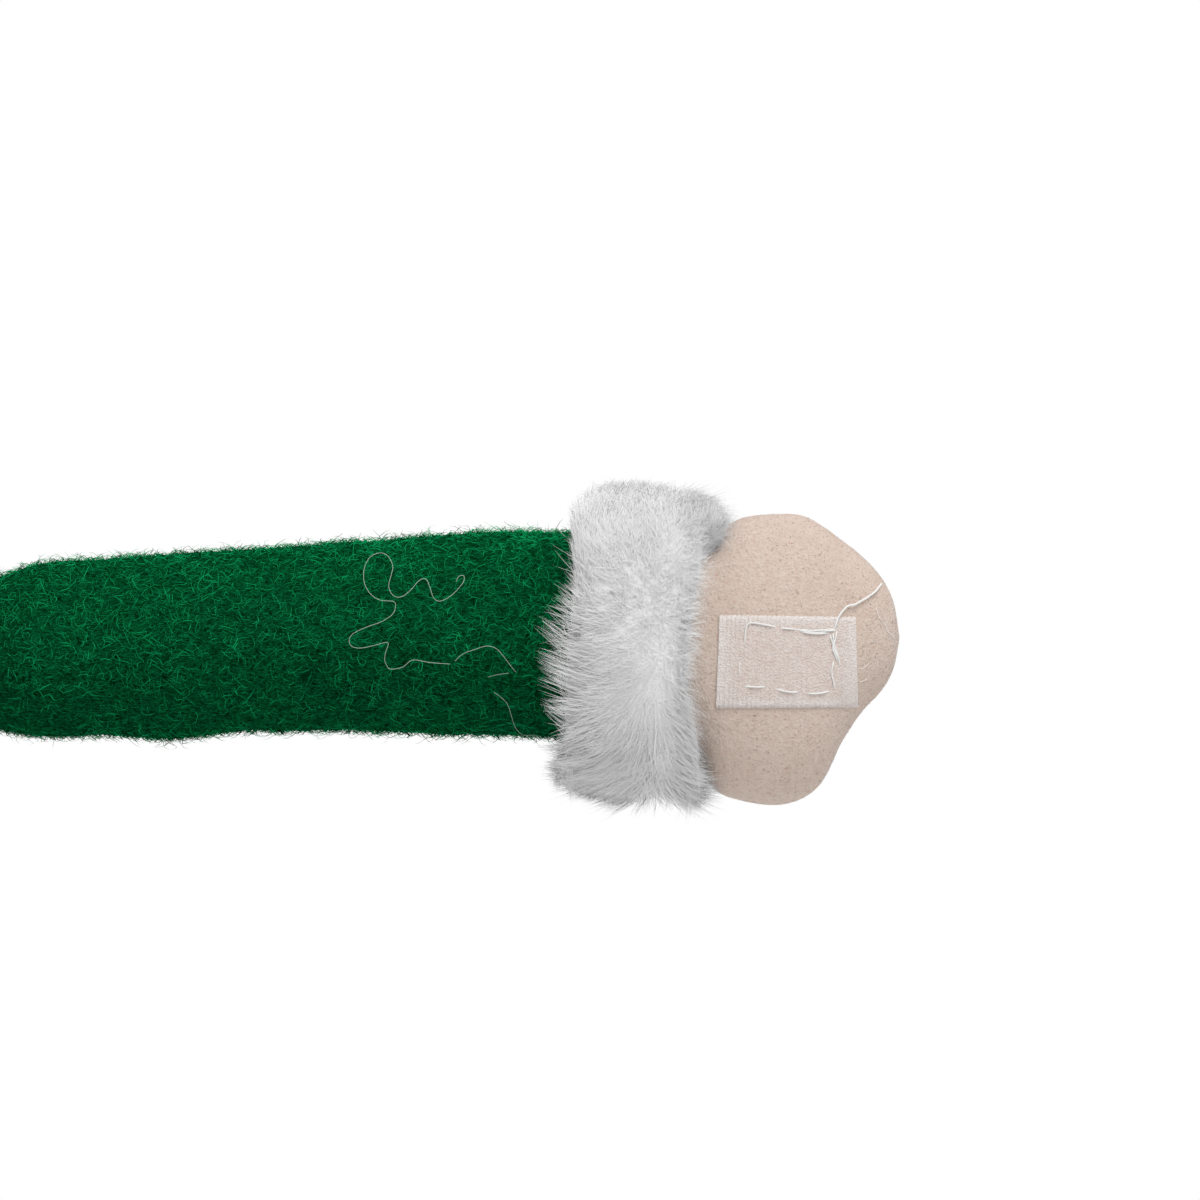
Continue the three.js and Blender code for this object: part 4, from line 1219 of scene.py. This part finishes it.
def arm(side, name, fine):
    """Dressed arm. Fine is 1 for the arm that is seen close up and less for the other."""
    body = f"{name}_arm"
    wide = fine ** -0.5
    count = lambda number: int(number * fine)
    rows = lambda number: number if fine == 1 else number // 2
    gathers = gusset(side)
    dress(surface(f"{name}_shoulder_gathers", (gathers, 26, 72)), f"{name}_gusset",
          green_felt, f"{name}_shoulder_gusset")
    fuzz = pile(f"{name}_shoulder_nap", gathers, 1500, 2.2, 0.13, 100, lift=(26, -8), turn=1.6, steps=2)
    dress(fuzz, f"{name}_gusset", green_fibre)

    cloth = sleeve(side)
    dress(surface(f"{name}_felt_sleeve", (cloth, rows(170), 96)), body, green_felt,
          f"{name}_sleeve")
    # The sleeve's fibres take painted shade where the sleeve looks down
    nap_style_painted_shade = {"keep": lambda place, normal, u, v: u < 0.95, "soft": 0.5, "spread": 0.34, "shade": 0.32}
    fuzz = pile(f"{name}_sleeve_nap", cloth, count(18000), 2.6, 0.17, 101, lift=(44, -26), turn=1.9,
                steps=2, uneven=0.3, root=0.12, **nap_style_painted_shade)
    dress(fuzz, body, green_fibre)
    stray = pile(f"{name}_sleeve_stray_fibres", cloth, count(11000), 3.0, 0.13, 102, lift=(50, -6),
                 turn=2.6, uneven=0.35, **nap_style_painted_shade)
    dress(stray, body, green_bright)

    ring, comb, length = cuff(side), cuff_comb(side), cuff_length(side)
    dress(evened(surface(f"{name}_fur_cuff", (ring, 36, 120, True))), body, fur_back,
          f"{name}_cuff")
    rise = lambda *angles: rising(side, *angles)
    rim = lambda place, normal, u, v: outside(place, normal, u, v) & (in_cuff(side, place)[0] > 9)
    over_hand = lambda place, normal, u, v: places(side, 0, 0.5 * in_cuff(side, place)[1] - 0.25)
    layers = (
        ("under_fur", count(14500), length, 0.13, comb, {
            "lift": (rise(52, 15, 9, 34), rise(36, 5, 2, 17)), "mess": 0.3, "steps": 2,
            "clumps": count(500), "pull": tufted(side, 0.5), "keep": outside, "ruffle": 4,
        }),
        ("over_fur", count(11800), length, 0.085, comb, {
            "lift": (rise(58, 23, 12, 40), rise(44, 12, 4, 24)), "mess": 0.3,
            "clumps": count(500), "pull": tufted(side, 0.6), "keep": outside, "ruffle": 4,
        }),
        ("fluff", count(14000), 3.8, 0.06, comb, {
            "lift": (rise(66, 33, 16, 50), rise(50, 20, 8, 36)), "mess": 0.5, "steps": 2,
            "keep": outside, "ruffle": 5,
        }),
        ("haze", count(3000), 6, 0.055, over_hand, {
            "lift": (50, 24), "mess": 0.3, "steps": 2, "keep": rim,
        }),
    )
    for seed, (title, many, long, thick, flow, style) in enumerate(layers, 111):
        fur = pile(f"{name}_cuff_{title}", ring, many, long, thick * wide, seed, flow, soft=0.97,
                   spread=0.1, even=from_arm, **style)
        dress(fur, body, fur_fibre)

    mitten = hand(side)
    dress(surface(f"{name}_plush_hand", (mitten, rows(110), rows(128))), body, skin,
          f"{name}_hand")
    nap = pile(f"{name}_hand_nap", mitten, count(5500), 0.6, 0.05 * wide, 121, lift=(24, 6), turn=0.8,
               steps=2, keep=lambda place, normal, u, v: u > 0.13, root=0.05, soft=0.92)
    dress(nap, body, skin_fibre)

    strip = surface(f"{name}_palm_tape", (patch(side), rows(186), 48))
    mark_border(strip)
    dress(strip, body, tape, f"{name}_hand_patch")
    sewn = [(smooth_path(points, on_palm, 0.6), 0.9 * radius) for radius, points in STITCHES]
    sewn.append((smooth_path(TAIL, on_palm, 0.7), 0.22))
    sewn = [(path * (side, 1, 1), radius) for path, radius in sewn]
    dress(threads(f"{name}_tape_stitches", sewn), body, white_thread)
    if fine < 1:
        return
    hairs = [(smooth_path(points, on_palm, 0.4), 0.06) for points in HAIRS]
    dress(threads(f"{name}_hand_stray_hairs", hairs), body, white_thread)
    loose = [(smooth_path(points, on_sleeve, 1.15), 0.65 * radius) for radius, points in LOOSE_THREADS]
    dress(threads(f"{name}_sleeve_stray_thread", loose), body, grey_thread)


SIDES = ((1, "left"), (-1, "right"))
arm(*SIDES[0], 1)
arm(*SIDES[1], 0.2)


# Torso

jacket = stacked(JACKET_STATIONS, TORSO_BOTTOM, 2.2, 0.5, 11)
dress(surface("felt_jacket", (jacket, 96, 120)), "torso", green_felt, "jacket")
felt_nap("jacket_nap", "torso", jacket, 6400, 3.4, 0.26, 201, spread=0.3,
         keep=between(TORSO_BOTTOM + 22, TORSO_TOP - 4))

seat = stacked(SEAT_STATIONS, TORSO_BOTTOM, 2.2, 0.3, 12)
dress(surface("felt_seat", (seat, 30, 48)), "torso", green_felt, "trouser_seat")
felt_nap("seat_nap", "torso", seat, 500, 3.2, 0.24, 204, spread=0.3)

hem = trim_band((0, BODY_Y, TORSO_BOTTOM + 16), 55, 64, 12.4, 22, 0.815)
hem_length = lambda place, normal, u, v: 7.6 - 3.8 * np.clip((TORSO_BOTTOM + 12 - place[:, 2]) / 8, 0, 1)
fur_trim("torso", "hem_trim", "fur_hem", (hem, 24, 150, True), "hem_fur", 6400, hem_length, 0.44, 202,
         downwards, lift=(34, 4), mess=0.4, clumps=700, keep=outside, soft=0.9)

collar = torus((0, BODY_Y, TORSO_TOP + 5.2), 32.6, 8.2, 31)
around = lambda place, normal, u, v: np.cos(2 * np.pi * u) > -0.55
fur_trim("torso", "collar_trim", "fur_collar", (collar, 24, 110, True), "collar_fur", 4400, 6.4, 0.42,
         203, downwards, lift=(40, 12), mess=0.4, clumps=550, keep=around, soft=0.88)

for number in (1, 2, 3):
    low, high = (np.array(corner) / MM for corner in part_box(f"pompom_button_{number}"))
    core = ball((0, low[1] + 7, (low[2] + high[2]) / 2), 4.6)
    fur_trim("torso", f"pompom_button_{number}", f"button_core_{number}", (core, 12, 20),
             f"button_fur_{number}", 800, 3.4, 0.34, 210 + number, lift=(80, 55), mess=0.8, soft=0.85)


# Head

def face_line(x, z, lift):
    """Places on the face at x and at a height from the middle of the head, lifted off it."""
    return places(x, face_depth(x, z) - lift, HEAD_MIDDLE + z)


dress(surface("plush_head", (head, 80, 120)), "head", face_skin, "head")
plush_nap("head_nap", head, 3600, 0.9, 0.1, 301, keep=between(0, BRIM_HEIGHT + 3))

nose = ball(face_line(0, -9, 3.6), (8, 7.8, 7.4))
dress(surface("plush_nose", (nose, 24, 36)), "head", nose_plush, "nose")
plush_nap("nose_nap", nose, 900, 0.9, 0.12, 302, slot="nose_plush", material=nose_fibre, lift=(40, 12))

lean = np.linspace(-1, 1, 17)
for side, name in SIDES:
    eye = ball(face_line(side * 19, 4, 0.4), (5.2, 4.4, 5.5))
    dress(surface(f"{name}_bead_eye", (eye, 24, 36)), "head", bead, f"{name}_eye")
    leaf = ear(side)
    dress(surface(f"{name}_plush_ear", (leaf, 36, 48)), "head", skin, f"{name}_ear")
    plush_nap(f"{name}_ear_nap", leaf, 800, 0.9, 0.1, 310 + side, material=skin_fibre)
    brow = face_line(side * (19 + 7.5 * lean), 14.5 - 2.4 * lean**2 + 0.8 * lean, 0.75)
    sewn = threads(f"{name}_brow", [(brow, 0.55 * (1.05 - lean**2) ** 0.5)])
    dress(sewn, "head", brown_thread)

lean = np.linspace(-1, 1, 33)
smile = face_line(13 * lean, -27 + 5.2 * lean**2, 0.7)
sewn = threads("smile_stitch", [(smile, 0.6 * (1.06 - lean**2) ** 0.4)])
dress(sewn, "head", red_thread)

dress(surface("felt_hat", (hat, 120, 96)), "head", green_felt, "hat")
felt_nap("hat_nap", "head", hat, 5400, 3.3, 0.26, 303, spread=0.3, keep=between(BRIM_HEIGHT + 14))
brim = trim_band((0, BODY_Y, BRIM_HEIGHT + 7.6), 52.6, 60.4, 11.2, 23)
fur_trim("head", "hat_trim", "fur_hat_band", (brim, 24, 150, True), "hat_band_fur", 5800, 7.4, 0.44, 304,
         downwards, lift=(34, 6), mess=0.4, clumps=750, keep=outside, soft=0.88)
tip = ball((-84, BODY_Y, BRIM_HEIGHT + 78), 10)
fur_trim("head", "hat_pompom", "hat_pompom_core", (tip, 20, 32), "hat_pompom_fur", 2400, 6.4, 0.4, 305,
         lift=(82, 58), mess=0.8, clumps=160, pull=0.3, soft=0.85)


# Legs

for side, name in SIDES:
    body = f"{name}_leg"
    cloth = trouser_leg(side)
    dress(surface(f"{name}_felt_trouser", (cloth, 96, 72)), body, green_felt,
          f"{name}_trouser_leg")
    felt_nap(f"{name}_trouser_nap", body, cloth, 3000, 3.3, 0.26, 400 + side, spread=0.3,
             keep=between(74, 262))
    ankle = trim_band((side * HIP_X, BODY_Y, 63), 21.6, 25.6, 11.4, 24)
    fur_trim(body, f"{name}_ankle_trim", f"{name}_fur_ankle", (ankle, 22, 84, True), f"{name}_ankle_fur",
             2600, 6.6, 0.44, 410 + side, downwards, lift=(34, 6), mess=0.4, clumps=320, keep=outside,
             soft=0.88)
    foot = boot_foot(side)
    dress(surface(f"{name}_felt_boot", (foot, 110, 72), (boot_shaft(side), 40, 64)), body,
          brown_felt, f"{name}_boot")
    felt_nap(f"{name}_boot_nap", body, foot, 1900, 2.4, 0.2, 420 + side, slot="brown_felt",
             material=brown_fibre, keep=between(4))
    toe = ball((side * HIP_X, BODY_Y - 81, 54.4), 5.6)
    fur_trim(body, f"{name}_toe_pompom", f"{name}_toe_pompom_core", (toe, 14, 22),
             f"{name}_toe_pompom_fur", 900, 4.2, 0.36, 430 + side, lift=(82, 58), mess=0.8, soft=0.85)

# CAD pieces that are shown as they are
for node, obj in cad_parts.items():
    material = {"sole": sole_felt, "filling": filling, "neck": skin}.get(node.split("_")[-1])
    if material:
        obj.data.materials.clear()
        obj.data.materials.append(material)


# Stage, lights and camera

def floor():
    """Pale round floor that fades into the white background at its rim."""
    radius, count = 900, 96
    corner = np.arange(count)
    turn = corner / count * 2 * np.pi
    corners = np.concatenate([radius * places(np.cos(turn), np.sin(turn), 0 * turn), [(0, 0, 0)]])
    corners[:, 2] = -0.4
    obj = build("floor", corners, np.stack([np.full(count, count), corner, (corner + 1) % count], -1))
    finish = Finish("pale floor", Roughness=0.9, Specular_IOR_Level=0.1)
    finish.shader.inputs["Base Color"].default_value = (*FLOOR, 1)
    glow = finish.node("Emission", None, {"Color": (1, 1, 1, 1), "Strength": BACKDROP})
    fade = 1 - finish.near((0, 0, 0), 330, 880)
    blend = finish.node("MixShader", None, {0: fade, 1: finish.shader.outputs[0], 2: glow.outputs[0]})
    end = next(node for node in finish.tree.nodes if node.bl_idname == "ShaderNodeOutputMaterial")
    finish.tree.links.new(blend.outputs[0], end.inputs["Surface"])
    obj.data.materials.append(finish.material)
    return obj


floor()

world = bpy.data.worlds.new("studio")
bpy.context.scene.world = world
world.use_nodes = True
links, nodes = world.node_tree.links, world.node_tree.nodes
background = nodes["Background"]
rays = nodes.new("ShaderNodeLightPath")
seen = rays.outputs["Is Camera Ray"]
for title in ("Is Glossy Ray", "Is Transmission Ray"):
    either = nodes.new("ShaderNodeMath")
    either.operation = "MAXIMUM"
    links.new(seen, either.inputs[0])
    links.new(rays.outputs[title], either.inputs[1])
    seen = either.outputs[0]
strength = nodes.new("ShaderNodeMix")
links.new(seen, strength.inputs["Factor"])
strength.inputs["A"].default_value = AMBIENT
strength.inputs["B"].default_value = BACKDROP
links.new(strength.outputs["Result"], background.inputs["Strength"])
background.inputs["Color"].default_value = (1, 1, 1, 1)

# Large soft lamp that looks at the doll from above, in metres and watts
light = bpy.data.lights.new("key", "AREA")
light.size = 1.5
light.energy = 38
lamp = bpy.data.objects.new("key", light)
bpy.context.collection.objects.link(lamp)
lamp.location = (0.65, -1.15, 2.4)
towards = Vector((0.05, 0, 0.35)) - lamp.location
lamp.rotation_euler = towards.to_track_quat("-Z", "Y").to_euler()

camera = bpy.data.cameras.new("camera")
camera.sensor_width = SENSOR_WIDTH
camera.lens = FOCAL_LENGTH
view = bpy.data.objects.new("camera", camera)
bpy.context.collection.objects.link(view)
view.location = (CAMERA_X * MM, (BODY_Y - CAMERA_DISTANCE) * MM, CAMERA_Z * MM)
view.rotation_euler = (np.pi / 2, 0, 0)
camera.clip_start = 0.01
bpy.context.scene.camera = view
bpy.context.scene.view_settings.view_transform = "Standard"
